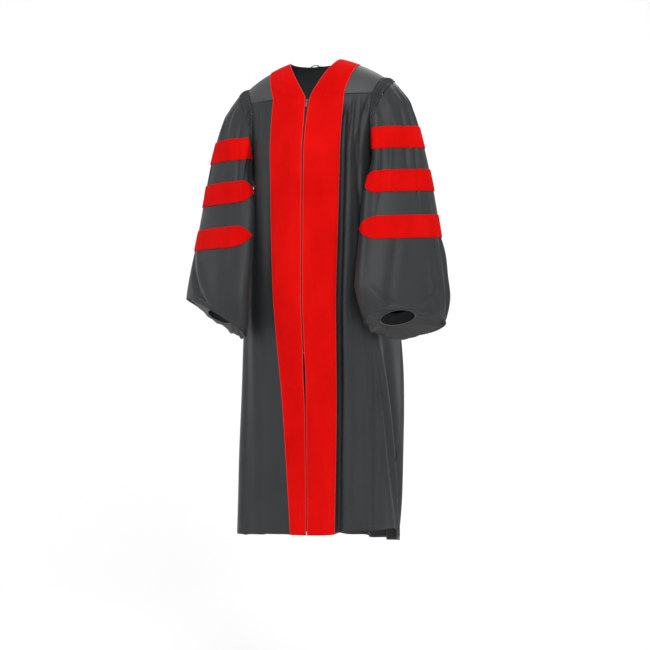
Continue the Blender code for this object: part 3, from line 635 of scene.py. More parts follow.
def meridian(degrees, share):
    """The sleeve's run from the armhole down to the first full section."""
    start = armhole_point(degrees)
    end = sleeve_section(degrees, SLEEVE_JOIN_Z)
    below = sleeve_section(degrees, SLEEVE_JOIN_Z - SECTION_STEP)
    length = start[2] - end[2]
    outward = max(0.0, math.cos(math.radians(degrees)))
    turn = math.radians(degrees)
    leave = (
        UNDERARM_REACH + SLEEVE_ARCH * outward * length / SWING_LENGTH,
        FRONT_SWING * math.sin(turn) * length / SWING_LENGTH,
        -length * (1.0 - SHOULDER_FLAT * outward),
    )
    arrive = [(below[k] - end[k]) / SECTION_STEP * length for k in range(3)]
    t = share
    square, cube = t * t, t * t * t
    weights = (2 * cube - 3 * square + 1, cube - 2 * square + t, 3 * square - 2 * cube, cube - square)
    point = tuple(
        weights[0] * start[k] + weights[1] * leave[k] + weights[2] * end[k] + weights[3] * arrive[k]
        for k in range(3)
    )
    pushed = clear_of_body(point, BODY_MARGIN)
    share = smooth(0.0, PUSH_FULL, share)
    return tuple(point[k] + (pushed[k] - point[k]) * share for k in range(3))


def sleeve_point(degrees, z):
    if z <= SLEEVE_JOIN_Z:
        return clear_of_body(sleeve_section(degrees, z), BODY_MARGIN)
    low, high = 0.0, 1.0
    for _ in range(30):
        middle = 0.5 * (low + high)
        if meridian(degrees, middle)[2] > z:
            low = middle
        else:
            high = middle
    return meridian(degrees, low)


def sleeve_end_point(side, degrees, z):
    """Point of the lower sleeve, drawn in on the side of the body."""
    x, y, _ = sleeve_point(degrees, z)
    inner = 0.5 - 0.5 * math.cos(math.radians(degrees + SLEEVE_START_ANGLE))
    draw = END_DRAW[side] * inner * inner * smooth(-DRAW_START_Z, -DRAW_FULL_Z, -z)
    turn = math.radians(SLEEVE[4][5])
    return (x + draw * math.cos(turn), y + draw * math.sin(turn), z)


def seam_share(degrees, gap):
    """Share of the meridian that a seam gap takes."""
    return gap / (armhole_point(degrees)[2] - SLEEVE_JOIN_Z)


def head_share(degrees):
    """Share of the meridian that the shirred band takes."""
    length = armhole_point(degrees)[2] - SLEEVE_JOIN_Z
    top = 0.5 + 0.5 * math.cos(math.radians(degrees))
    band = HEAD_LEAST + (HEAD_LENGTH - HEAD_LEAST) * smooth(0.0, 0.75, top)
    return band / (length * HEAD_STRETCH)


def rim_z(side, degrees):
    place = math.radians(degrees + SLEEVE_START_ANGLE - RIM_LOW_ANGLE)
    level = RIM_Z[side] - RIM_DROP[side] * math.cos(place)
    x = sleeve_section(degrees, RIM_Z[side])[0]
    return level + RIM_TILT[side] * (x - SLEEVE[4][1])


def soft_min(first, second, width=0.010):
    return 0.5 * (first + second - math.sqrt((first - second) ** 2 + width * width))


def mirrored(rows, side):
    return [[(side * x, y, z) for x, y, z in row] for row in rows]


def front_middle(z):
    """Height and slope of the centre front, where the zip runs."""
    step = 0.004
    y = body_plain(0.0, z)[1]
    slope = (body_plain(0.0, z - step)[1] - body_plain(0.0, z + step)[1]) / (2.0 * step)
    return y, math.atan(-slope)


class Patch:
    """A smooth surface through a grid of points, read at any row and column."""

    def __init__(self, rows, wrap=False):
        self.grid = np.array(rows, dtype=float)
        self.wrap = wrap
        self.last_row = self.grid.shape[0] - 1
        self.last_column = self.grid.shape[1] - (0 if wrap else 1)

    def point(self, i, j):
        i = np.clip(i, 0, self.grid.shape[0] - 1)
        j = j % self.grid.shape[1] if self.wrap else np.clip(j, 0, self.grid.shape[1] - 1)
        return self.grid[i, j]

    def at(self, v, u):
        """Points at rows v and columns u, arrays of one shape."""
        v = np.clip(v, 0.0, self.last_row)
        i = np.minimum(np.floor(v).astype(int), self.last_row - 1)
        j = np.floor(u).astype(int)
        if not self.wrap:
            j = np.clip(j, 0, self.last_column - 1)
        weights_v = cubic(v - i)
        weights_u = cubic(u - j)
        total = np.zeros(v.shape + (3,))
        for a in range(4):
            for b in range(4):
                total += (weights_v[a] * weights_u[b])[..., None] * self.point(i + a - 1, j + b - 1)
        return total


def fine_grid(patch, row_steps, column_steps):
    """Rows and columns of a close grid over an open patch."""
    return np.meshgrid(
        np.linspace(0, patch.last_row, patch.last_row * row_steps + 1),
        np.linspace(0, patch.last_column, patch.last_column * column_steps + 1),
        indexing="ij",
    )


def cubic(t):
    return (
        -0.5 * t + t ** 2 - 0.5 * t ** 3,
        1.0 - 2.5 * t ** 2 + 1.5 * t ** 3,
        0.5 * t + 2.0 * t ** 2 - 1.5 * t ** 3,
        -0.5 * t ** 2 + 0.5 * t ** 3,
    )


def normals(points, wrap):
    """Unit normals of a grid of points."""
    along = np.gradient(points, axis=0)
    if wrap:
        across = (np.roll(points, -1, axis=1) - np.roll(points, 1, axis=1)) * 0.5
    else:
        across = np.gradient(points, axis=1)
    result = np.cross(along, across)
    size = np.linalg.norm(result, axis=2, keepdims=True)
    return result / np.maximum(size, 1e-12)


def crease_relief(kind, places, heights, scale=1.0):
    """Sum of the listed creases of one piece; places and heights are arrays."""
    total = np.zeros(places.shape)
    for first, first_z, last, last_z, half_width, depth in CREASES[kind]:
        run = np.array([(last - first) * scale, last_z - first_z])
        length = np.hypot(*run)
        away = np.stack([(places - first) * scale, heights - first_z], axis=-1)
        share = np.clip((away @ run) / length ** 2, 0.0, 1.0)
        near = away - share[..., None] * run
        distance = np.linalg.norm(near, axis=-1)
        taper = np.sin(np.pi * np.clip(share * 0.88 + 0.06, 0.0, 1.0)) ** 0.7
        wander = 1.0 + 0.25 * np.sin(share * 9.0 + first * 31.0)
        total += depth * taper * wander * np.exp(-(distance / half_width) ** 2)
    return total


def ripple(a, b, seed):
    """Soft unevenness of cloth, a few centimetres across."""
    value = np.sin(a * 61.0 + 1.7 * np.sin(b * 17.0 + seed) + seed)
    value += 0.6 * np.sin(b * 43.0 + 1.3 * np.sin(a * 29.0 + seed) + 2.0 * seed)
    value += 0.4 * np.sin(a * 97.0 + b * 71.0 + 3.0 * seed)
    return value * 0.5


def add_object(name, data):
    obj = bpy.data.objects.new(name, data)
    bpy.context.scene.collection.objects.link(obj)
    return obj


def mesh_object(name, verts, faces, material):
    mesh = bpy.data.meshes.new(name)
    mesh.from_pydata(verts, [], faces)
    mesh.update()
    mesh.materials.append(material)
    mesh.shade_smooth()
    return add_object(name, mesh)


def shell_object(name, points, thickness, material, wrap=False, turned=False):
    """A grid of points as a thin shell, thickened inwards."""
    rows, columns = points.shape[:2]
    index = np.arange(rows * columns).reshape(rows, columns)
    right = np.roll(index, -1, axis=1)
    count = columns if wrap else columns - 1
    a = index[:-1, :count].ravel()
    b = right[:-1, :count].ravel()
    c = right[1:, :count].ravel()
    d = index[1:, :count].ravel()
    faces = np.stack([a, b, c, d] if turned else [a, d, c, b], axis=1)
    obj = mesh_object(name, points.reshape(-1, 3).tolist(), faces.tolist(), material)
    solid = obj.modifiers.new("Thickness", "SOLIDIFY")
    solid.thickness = thickness
    solid.offset = -1.0
    return obj


def cloth_piece(name, points, thickness, material, nodes, wrap=False, turned=False):
    """A sheet of cloth as a thin shell; its width, length and area when laid flat are measured but not passed
    on.
    """
    obj = shell_object(name, points, thickness, material, wrap, turned)
    across = np.linalg.norm(np.diff(points, axis=1), axis=2)
    if wrap:
        closing = np.linalg.norm(points[:, :1] - points[:, -1:], axis=2)
        across = np.concatenate([across, closing], axis=1)
    along = np.linalg.norm(np.diff(points, axis=0), axis=2)
    width = float(across.sum(axis=1).max())
    length = float(along.sum(axis=0).max())
    corner = points[:-1, :-1]
    side = points[:-1, 1:] - corner
    down = points[1:, :-1] - corner
    far = points[1:, 1:] - corner
    area = 0.5 * np.linalg.norm(np.cross(side, far), axis=2).sum()
    area += 0.5 * np.linalg.norm(np.cross(far, down), axis=2).sum()
    if wrap:
        area *= points.shape[1] / (points.shape[1] - 1.0)
    area = float(min(max(area, 0.31 * width * length), width * length))
    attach(obj, "gown")
    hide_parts(*nodes)
    return obj


def shader_material(
    name, colour, roughness, sheen, sheen_tint, sheen_roughness=0.4, specular=0.5, metallic=0.0
):
    material = bpy.data.materials.new(name)
    material.use_nodes = True
    shader = material.node_tree.nodes["Principled BSDF"]
    shader.inputs["Base Color"].default_value = (*colour, 1.0)
    shader.inputs["Roughness"].default_value = roughness
    shader.inputs["Metallic"].default_value = metallic
    shader.inputs["Sheen Weight"].default_value = sheen
    shader.inputs["Sheen Roughness"].default_value = sheen_roughness
    shader.inputs["Sheen Tint"].default_value = (*sheen_tint, 1.0)
    shader.inputs["Specular IOR Level"].default_value = specular
    return material, shader


def mottled_colour(material, shader, low, high, scale, stretch=(1.0, 1.0, 1.0)):
    """Two close tones of one colour, mixed by soft noise."""
    nodes, links = material.node_tree.nodes, material.node_tree.links
    place = nodes.new("ShaderNodeTexCoord")
    mapping = nodes.new("ShaderNodeMapping")
    mapping.inputs["Scale"].default_value = stretch
    noise = nodes.new("ShaderNodeTexNoise")
    noise.inputs["Scale"].default_value = scale
    noise.inputs["Detail"].default_value = 6.0
    ramp = nodes.new("ShaderNodeValToRGB")
    ramp.color_ramp.elements[0].position = 0.3
    ramp.color_ramp.elements[1].position = 0.7
    ramp.color_ramp.elements[0].color = (*low, 1.0)
    ramp.color_ramp.elements[1].color = (*high, 1.0)
    links.new(place.outputs["Object"], mapping.inputs["Vector"])
    links.new(mapping.outputs["Vector"], noise.inputs["Vector"])
    links.new(noise.outputs["Fac"], ramp.inputs["Fac"])
    links.new(ramp.outputs["Color"], shader.inputs["Base Color"])
    return place


def woven_bump(material, shader, place, pitch, weave, crumple, crumple_scale):
    """Fine weave over soft crumples, as bump."""
    nodes, links = material.node_tree.nodes, material.node_tree.links
    heights = []
    for direction in ("X", "Z"):
        wave = nodes.new("ShaderNodeTexWave")
        wave.wave_type = "BANDS"
        wave.bands_direction = direction
        wave.inputs["Scale"].default_value = 0.314 / pitch
        wave.inputs["Distortion"].default_value = 0.6
        wave.inputs["Detail"].default_value = 1.0
        links.new(place.outputs["Object"], wave.inputs["Vector"])
        heights.append(wave.outputs["Fac"])
    both = nodes.new("ShaderNodeMath")
    both.operation = "MULTIPLY"
    links.new(heights[0], both.inputs[0])
    links.new(heights[1], both.inputs[1])
    fine = nodes.new("ShaderNodeBump")
    fine.inputs["Strength"].default_value = weave
    fine.inputs["Distance"].default_value = 0.0002
    links.new(both.outputs["Value"], fine.inputs["Height"])
    noise = nodes.new("ShaderNodeTexNoise")
    noise.inputs["Scale"].default_value = crumple_scale
    noise.inputs["Detail"].default_value = 3.0
    links.new(place.outputs["Object"], noise.inputs["Vector"])
    soft = nodes.new("ShaderNodeBump")
    soft.inputs["Strength"].default_value = crumple
    soft.inputs["Distance"].default_value = 0.004
    links.new(noise.outputs["Fac"], soft.inputs["Height"])
    links.new(fine.outputs["Normal"], soft.inputs["Normal"])
    links.new(soft.outputs["Normal"], shader.inputs["Normal"])


def make_materials():
    """Each call: key, name, (colour, roughness, sheen, tint), (dark, light, scale), weave, other settings."""
    made = {}

    def add(key, name, look, tones, weave=None, **more):
        material, shader = shader_material(name, *look, **more)
        place = mottled_colour(material, shader, *tones)
        if weave:
            woven_bump(material, shader, place, *weave)
        made[key] = material

    cool, white = (0.8, 0.85, 0.9), (1.0, 1.0, 1.0)
    add("cloth", "charcoal_cloth", ((0.021, 0.0225, 0.0235), 0.55, 0.05, cool),
        ((0.0132, 0.0150, 0.0162), (0.0192, 0.0206, 0.0212), 5.0, (3.0, 3.0, 1.0)),
        (0.0006, 0.25, 0.10, 22.0), specular=0.34)
    # Darker copy of the cloth for the turned-under sleeve ends: painted shade under the sleeves.
    add("under", "charcoal_painted_shade", ((0.014, 0.015, 0.0155), 0.60, 0.04, cool),
        ((0.0115, 0.0125, 0.0130), (0.0170, 0.0180, 0.0185), 9.0), (0.0006, 0.25, 0.14, 30.0))
    add("yoke", "charcoal_yoke", ((0.034, 0.036, 0.037), 0.60, 0.06, cool),
        ((0.032, 0.0345, 0.0355), (0.039, 0.041, 0.042), 9.0), (0.0006, 0.25, 0.08, 26.0))
    add("velvet", "red_velvet", ((0.56, 0.002, 0.001), 0.9, 0.06, (1.0, 0.10, 0.08), 0.35, 0.06),
        ((0.50, 0.0012, 0.0008), (0.60, 0.0030, 0.0020), 14.0, (1.0, 1.0, 0.5)), (0.0007, 0.5, 0.06, 18.0))
    add("tape", "zip_tape_weave", ((0.03, 0.03, 0.033), 0.8, 0.1, white),
        ((0.020, 0.020, 0.022), (0.034, 0.034, 0.036), 400.0), (0.0005, 0.6, 0.0, 10.0))
    add("metal", "plated_metal", ((0.4, 0.4, 0.41), 0.35, 0.0, white),
        ((0.16, 0.16, 0.165), (0.24, 0.24, 0.245), 900.0), metallic=1.0)
    add("thread", "dark_thread", ((0.018, 0.019, 0.020), 0.6, 0.1, white),
        ((0.014, 0.015, 0.016), (0.022, 0.024, 0.025), 700.0))
    add("red_thread", "red_thread", ((0.78, 0.03, 0.025), 0.6, 0.1, (1.0, 0.6, 0.6)),
        ((0.74, 0.025, 0.02), (0.84, 0.05, 0.04), 300.0))
    # Light grey for the cord round each mouth: a painted highlight along the mouth's edge.
    add("painted_highlight_edge", "painted_highlight_edge", ((0.09, 0.092, 0.094), 0.6, 0.1, white),
        ((0.075, 0.077, 0.079), (0.105, 0.107, 0.109), 300.0))
    # Near-black copy of the cloth: painted shade inside the sleeves' mouths and on the neck loop.
    add("painted_shade", "painted_shade_black", ((0.010, 0.010, 0.010), 0.8, 0.0, white),
        ((0.009, 0.009, 0.009), (0.012, 0.012, 0.012), 60.0), specular=0.2)
    return made


def body_heights(top, above, below):
    """Levels of a body panel's rows, closer above the armpit."""
    return np.concatenate([np.linspace(top, ARMPIT_Z, above)[:-1], np.linspace(ARMPIT_Z, HEM_Z, below)])


def make_front_patch(side):
    """The front on a close grid: its velvet columns first, then the plain ones."""
    rows = []
    for number, z in enumerate(body_heights(YOKE_SEAM_Z, FRONT_TOP_ROWS, FRONT_LOW_ROWS)):
        level = z - SEAM_GAP if number == 0 else z
        start = angle_at(look_up(FRONT_GAP, z)[0], z)
        edge = angle_at(velvet_width(side, z), z)
        end = armhole_angle(z)
        angles = [start + (edge - start) * k / FRONT_VELVET for k in range(FRONT_VELVET)]
        angles += [edge + (end - edge) * (k / FRONT_PLAIN) ** PLAIN_SPREAD for k in range(FRONT_PLAIN + 1)]
        rows.append([settle(body_point(side * angle, level)) for angle in angles])
    return Patch(rows)


def make_yoke_patch(side):
    rows = []
    for step in range(YOKE_ROWS, -1, -1):
        degrees = 90.0 * step / YOKE_ROWS
        rise = math.sin(math.radians(degrees)) ** (2.0 / ARCH_POWER)
        inner = FRONT_GAP[0][1] + (NECK_HALF - FRONT_GAP[0][1]) * rise
        edge = VELVET_AT_SEAM + (VELVET_AT_CREST - VELVET_AT_SEAM) * rise
        outer = outer_edge(degrees)
        spots = [inner + (edge - inner) * k / FRONT_VELVET for k in range(FRONT_VELVET)]
        spots += [edge + (outer - edge) * k / YOKE_PLAIN for k in range(YOKE_PLAIN + 1)]
        rows.append([settle(arch_point(side * x, degrees)) for x in spots])
    return Patch(rows)


def front_relief(points, side, kind):
    relief = crease_relief(kind, np.abs(points[..., 0]), points[..., 2])
    low = np.clip(FRONT_RIPPLE_Z - points[..., 2], 0.0, 1.0)
    soft = FRONT_RIPPLE + FRONT_RIPPLE_LOW * low
    return relief + soft * ripple(points[..., 0], points[..., 2] * 0.25, 1.3 if side > 0 else 2.9)


def build_fronts(materials):
    for side, word in ((1, "left"), (-1, "right")):
        turned = side < 0
        front = make_front_patch(side)
        yoke = make_yoke_patch(side)
        v, u = fine_grid(front, 2, 3)
        base = front.at(v, u)
        out = normals(base, False) * side
        relief = front_relief(base, side, "front_" + word)
        under = np.clip((u - FRONT_VELVET) / VELVET_FADE, 0.0, 1.0)
        points = base + out * (relief * under)[..., None]
        cloth_piece(
            "gown_front_" + word, points, SHELL, materials["cloth"], ["front_" + word],
            turned=turned,
        )
        v, u = fine_grid(yoke, 3, 3)
        base = yoke.at(v, u)
        out = normals(base, False) * side
        soft = YOKE_RIPPLE * ripple(base[..., 0] * 0.7, base[..., 2], 0.4)
        under = np.clip((u - FRONT_VELVET) / VELVET_FADE, 0.0, 1.0)
        points = base + out * (soft * under)[..., None]
        cloth_piece(
            "gown_yoke_" + word, points, SHELL, materials["yoke"], ["yoke_" + word],
            turned=turned,
        )
        build_velvet(materials, side, word, front, yoke)


def build_velvet(materials, side, word, front, yoke):
    """The velvet lies on the yoke and the front, made from their points."""
    columns = np.linspace(0, FRONT_VELVET, FRONT_VELVET * 4 + 1)
    v, u = np.meshgrid(np.linspace(0, yoke.last_row, yoke.last_row * 4 + 1)[:-1], columns, indexing="ij")
    top = yoke.at(v, u)
    v, u = np.meshgrid(np.linspace(0, front.last_row, front.last_row * 3 + 1), columns, indexing="ij")
    low = front.at(v, u)
    base = np.concatenate([top, low])
    out = normals(base, False) * side
    relief = crease_relief("velvet_" + word, np.abs(base[..., 0]), base[..., 2])
    relief += VELVET_RIPPLE * ripple(base[..., 0], base[..., 2] * 0.4, 5.1 + side)
    edge = np.minimum(columns, FRONT_VELVET - columns)
    round_off = EDGE_ROUND * np.exp(-((edge / EDGE_COLUMNS) ** 2))
    points = base + out * (LAYER_LIFT + relief - round_off[None, :])[..., None]
    places = run_places(points[:, 1], out[:, 1], VELVET_STITCH, -STITCH_SINK)
    places += run_places(points[:, -2], out[:, -2], VELVET_STITCH, -STITCH_SINK)
    small_blocks("stitches_velvet_" + word, places, VELVET_STITCH_SIZE, materials["red_thread"])
    cloth_piece(
        "velvet_panel_" + word, points, PILE, materials["velvet"], ["velvet_" + word],
        turned=side < 0,
    )


def build_back(materials):
    rows = []
    for number, z in enumerate(body_heights(BACK_SEAM_Z, BACK_TOP_ROWS, BACK_LOW_ROWS)):
        level = z - SEAM_GAP if number == 0 else z
        reach = 180.0 - armhole_angle(z) if z > ARMPIT_Z else 90.0 + BACK_GAP_DEGREES
        angles = [reach + (360.0 - 2.0 * reach) * k / BACK_COLUMNS for k in range(BACK_COLUMNS + 1)]
        rows.append([settle(body_point(degrees, level)) for degrees in angles])
    patch = Patch(rows)
    v, u = fine_grid(patch, 2, 2)
    base = patch.at(v, u)
    out = normals(base, False)
    x, z = base[..., 0], base[..., 2]
    gather = np.clip((BACK_SEAM_Z - z) / GATHER_START, 0.0, 1.0)
    gather *= np.clip((z - GATHER_END_Z) / GATHER_FADE, 0.0, 1.0)
    relief = GATHER_DEPTH * gather * np.cos(x * 330.0 + 1.2 * np.sin(x * 47.0)) * (np.abs(x) < GATHER_HALF)
    relief += BACK_RIPPLE * ripple(x, z * 0.3, 4.2)
    cloth_piece(
        "gown_back", base + out * relief[..., None], SHELL, materials["cloth"], ["back"]
    )
    build_back_yoke(materials)


def build_back_yoke(materials):
    rows = []
    for step in range(YOKE_ROWS + 1):
        share = step / YOKE_ROWS
        row = []
        for k in range(-YOKE_PLAIN, YOKE_PLAIN + NECK_COLUMNS + 1):
            if 0 < k < NECK_COLUMNS:
                x = NECK_HALF * math.cos(math.pi * k / NECK_COLUMNS)
                start = neck_degrees(x)
            else:
                sign = 1.0 if k <= 0 else -1.0
                out = -k / YOKE_PLAIN if k <= 0 else (k - NECK_COLUMNS) / YOKE_PLAIN
                start = behind_crest(NECK_HALF + (SHOULDER_TIP_X - NECK_HALF) * out, CREST_GAP)
                degrees = start + (180.0 - start) * share
                x = sign * (NECK_HALF + (outer_edge(degrees) - NECK_HALF) * out)
            degrees = start + (180.0 - start) * share
            row.append(settle(arch_point(x, degrees)))
        rows.append(row)
    patch = Patch(rows)
    v, u = fine_grid(patch, 3, 3)
    base = patch.at(v, u)
    soft = YOKE_RIPPLE * ripple(base[..., 0] * 0.6, base[..., 2], 2.2)
    points = base + normals(base, False) * soft[..., None]
    cloth_piece("gown_yoke_back", points, SHELL, materials["yoke"], ["yoke_back"])


def sleeve_levels():
    levels = []
    for number in range(1, len(SLEEVE_ROWS)):
        for part in range(2):
            levels.append(number + part / 2.0)
    return levels + [float(len(SLEEVE_ROWS))]


def make_sleeve_patch(side):
    """The sleeve on a close grid, every SLEEVE_TURN degrees round the arm."""
    angles = [SLEEVE_TURN * j for j in range(360 // SLEEVE_TURN)]
    heads = [meridian(angle, head_share(angle)) for angle in angles]
    rows = [[meridian(angle, head_share(angle) + seam_share(angle, HEAD_SEAM)) for angle in angles]]
    numbers = [0.5] + sleeve_levels()
    for number in numbers:
        low = min(int(number), len(SLEEVE_ROWS) - 1)
        first = SLEEVE_ROWS[max(low - 1, 0)]
        second = SLEEVE_ROWS[low]
        z = first + (second - first) * (number - low) if number >= 1 else SLEEVE_ROWS[0] * FIRST_ROW_SHARE
        if number >= len(SLEEVE_ROWS):
            z = SLEEVE_ROWS[-1]
        row = []
        for head, angle in zip(heads, angles):
            lowest = head[2] - ROW_STEP * number * (SLEEVE_JOIN_Z - head[2]) / (SLEEVE_JOIN_Z - HEAD_MIDDLE_Z)
            level = z if z <= SLEEVE_JOIN_Z else soft_min(z, lowest)
            row.append(sleeve_point(angle, level))
        rows.append(row)
    last = SLEEVE_ROWS[-1]
    for share in END_SHARES:
        levels = [last + (rim_z(side, angle) - last) * share for angle in angles]
        rows.append([sleeve_end_point(side, angle, level) for angle, level in zip(angles, levels)])
    return Patch(settled(mirrored(rows, side)), wrap=True)


def sleeve_relief(points, turn, side, word):
    z = points[..., 2]
    signed = (turn + 180.0) % 360.0 - 180.0
    kind = "sleeve_" + word
    relief = crease_relief(kind, signed, z, DEGREE) + crease_relief(kind, signed + 360.0, z, DEGREE)
    relief *= SLEEVE_CREASE_SCALE
    top = np.clip(np.cos(np.radians(turn)) + SHIRR_TOP, 0.0, 1.0)
    gather = np.cos(np.radians(turn) * SHIRR_GATHERS + 0.8 * np.sin(np.radians(turn) * 5.0))
    fade = np.clip((z - SHIRR_END_Z) / SHIRR_FADE, 0.0, 1.0) ** 1.5
    relief += SHIRR_WIDE * gather * fade * top
    low = np.clip((SLEEVE_RIPPLE_Z - z) / SLEEVE_RIPPLE_FADE, 0.0, 1.0)
    soft = SLEEVE_RIPPLE + SLEEVE_RIPPLE_LOW * low
    relief += soft * ripple(np.radians(turn) * 0.09, z * 0.35, 0.7 + side)
    return relief


def build_sleeve(materials, side, word):
    patch = make_sleeve_patch(side)
    turns = np.arange(patch.last_column * SLEEVE_ROUND) / SLEEVE_ROUND
    v, u = np.meshgrid(np.linspace(0, patch.last_row, patch.last_row * SLEEVE_FINE + 1), turns, indexing="ij")
    base = patch.at(v, u)
    out = normals(base, True) * -side
    relief = sleeve_relief(base, u * SLEEVE_TURN, side, word)
    hold = np.clip(v / 1.0, 0.0, 1.0) * np.clip((patch.last_row - v) / 0.5, 0.25, 1.0)
    points = base + out * (relief * hold)[..., None]
    front = 0.5 - 0.5 * np.cos(np.radians(turns * SLEEVE_TURN + SLEEVE_START_ANGLE - RIM_LOW_ANGLE))
    lip = points[-1] + out[-1] * LIP_OUT - np.array([0.0, 0.0, SLEEVE_LIP]) * front[:, None]
    cloth_piece(
        "gown_sleeve_" + word, np.concatenate([points, lip[None]]), SHELL, materials["cloth"],
        ["sleeve_" + word], wrap=True, turned=side > 0,
    )
    for number, centre in enumerate(BAR_CENTRES, start=1):
        build_bar(materials, side, word, patch, number, centre)
    build_head(materials, side, word)
    build_cuff(materials, side, word, points[-1] - out[-1] * CUFF_INSIDE)


def row_of_level(patch, u, level, side):
    """Row of the patch at which each column reaches this height, before the roll."""
    rows = np.linspace(2.0, patch.last_row, 240)
    v, columns = np.meshgrid(rows, u, indexing="ij")
    points = patch.at(v, columns)
    roll = np.array([[ROLL * (1.0 - smooth(-ROLL_FULL_Z, -ROLL_END_Z, -level))]])
    heights = points[..., 2] - roll * points[..., 0]
    result = []
    for column in range(len(u)):
        result.append(np.interp(-level, -heights[:, column], rows))
    return np.array(result)


def build_bar(materials, side, word, patch, number, centre):
    """A velvet bar with rounded points, made from the sleeve's own points."""
    turns = np.linspace(BAR_START, BAR_END, BAR_ALONG + 1)
    from_end = np.minimum(turns - BAR_START, BAR_END - turns) / BAR_TIP
    share = np.clip(from_end, 0.0, 1.0)
    half = np.maximum(BAR_HALF * np.sin(share * np.pi / 2.0) ** BAR_POWER, BAR_LEAST)
    across = np.linspace(-1.0, 1.0, BAR_ACROSS)
    columns = (turns / SLEEVE_TURN) % patch.last_column
    top = row_of_level(patch, columns, centre + BAR_HALF, side)
    low = row_of_level(patch, columns, centre - BAR_HALF, side)
    middle = (top + low) / 2.0
    reach = (low - top) / 2.0 * half / BAR_HALF
    v = middle[None, :] + across[:, None] * reach[None, :]
    u = np.broadcast_to(columns[None, :], v.shape)
    base = patch.at(v, u)
    out = normals(base, False) * -side
    relief = sleeve_relief(base, u * SLEEVE_TURN, side, word)
    wrinkle = BAR_RIPPLE * ripple(np.radians(u * SLEEVE_TURN) * 0.3, base[..., 2] * 1.2, number + side)
    edge = BAR_ROUND * np.exp(-(((1.0 - np.abs(across)) / BAR_ROUND_SHARE) ** 2))[:, None]
    points = base + out * (relief + wrinkle + LAYER_LIFT - edge)[..., None]
    cloth_piece(
        "velvet_bar_" + word + "_" + str(number), points, PILE, materials["velvet"],
        ["bar_" + word + "_" + str(number)], turned=side > 0,
    )


def build_head(materials, side, word):
    """The shirred band: fine gathers that open out of the armhole seam."""
    count = HEAD_COLUMNS
    turns = np.arange(count) * 360.0 / count
    rows = []
    for share in np.linspace(0.0, 1.0, HEAD_ROWS):
        row = []
        for angle in np.arange(0.0, 360.0, HEAD_TURN):
            gap = seam_share(angle, HEAD_SEAM) * (1.0 - share)
            row.append(meridian(angle, head_share(angle) * share + gap))
        rows.append(row)
    patch = Patch(settled(mirrored(rows, side)), wrap=True)
    v, u = np.meshgrid(np.linspace(0, patch.last_row, HEAD_FINE), turns / HEAD_TURN, indexing="ij")
    base = patch.at(v, u)
    out = normals(base, True) * -side
    turn = np.radians(u * HEAD_TURN)
    top = np.clip(np.cos(turn) + SHIRR_TOP, 0.0, 1.0)
    place = v / patch.last_row
    gather = np.cos(turn * SHIRR_FINE_GATHERS + 1.5 * np.sin(turn * 7.0))
    wide = np.cos(turn * SHIRR_GATHERS + 0.8 * np.sin(turn * 5.0))
    relief = SHIRR_FINE * gather * top * np.sin(np.pi * np.clip(place, 0.0, 0.92))
    relief += SHIRR_WIDE * wide * top * place
    for line in SHIRR_LINES:
        relief -= SHIRR_LINE_DEPTH * top * np.exp(-(((place - line) / SHIRR_LINE_HALF) ** 2))
    points = base + out * relief[..., None]
    places = []
    for row, start in SHIRR_STITCH_ROWS:
        for column in range(start, count, SHIRR_STITCH_STEP):
            angle = (turns[column] + 180.0) % 360.0 - 180.0
            if abs(angle) < SHIRR_REACH:
                along = points[row + 3, column] - points[row - 3, column]
                spot = points[row, column] + out[row, column] * STITCH_SINK
                places.append((spot, along, out[row, column]))
    small_blocks("stitches_shirring_" + word, places, SHIRR_STITCH_SIZE, materials["thread"])
    cloth_piece(
        "gown_shirring_" + word, points, SHELL, materials["cloth"], ["sleeve_head_" + word],
        wrap=True, turned=side > 0,
    )


def mouth_ring(side, scale, rise, angles):
    turn = math.radians(SLEEVE[4][5])
    ring = []
    for angle in angles:
        place = math.radians(angle + SLEEVE_START_ANGLE)
        along = scale * MOUTH_BROAD * math.cos(place)
        across = scale * MOUTH_THIN * math.sin(place)
        x = MOUTH_X[side] + along * math.cos(turn) + across * math.sin(turn)
        y = MOUTH_Y + along * math.sin(turn) - across * math.cos(turn)
        ring.append((x, y, MOUTH_Z[side] + MOUTH_SLOPE * across + rise))
    return ring


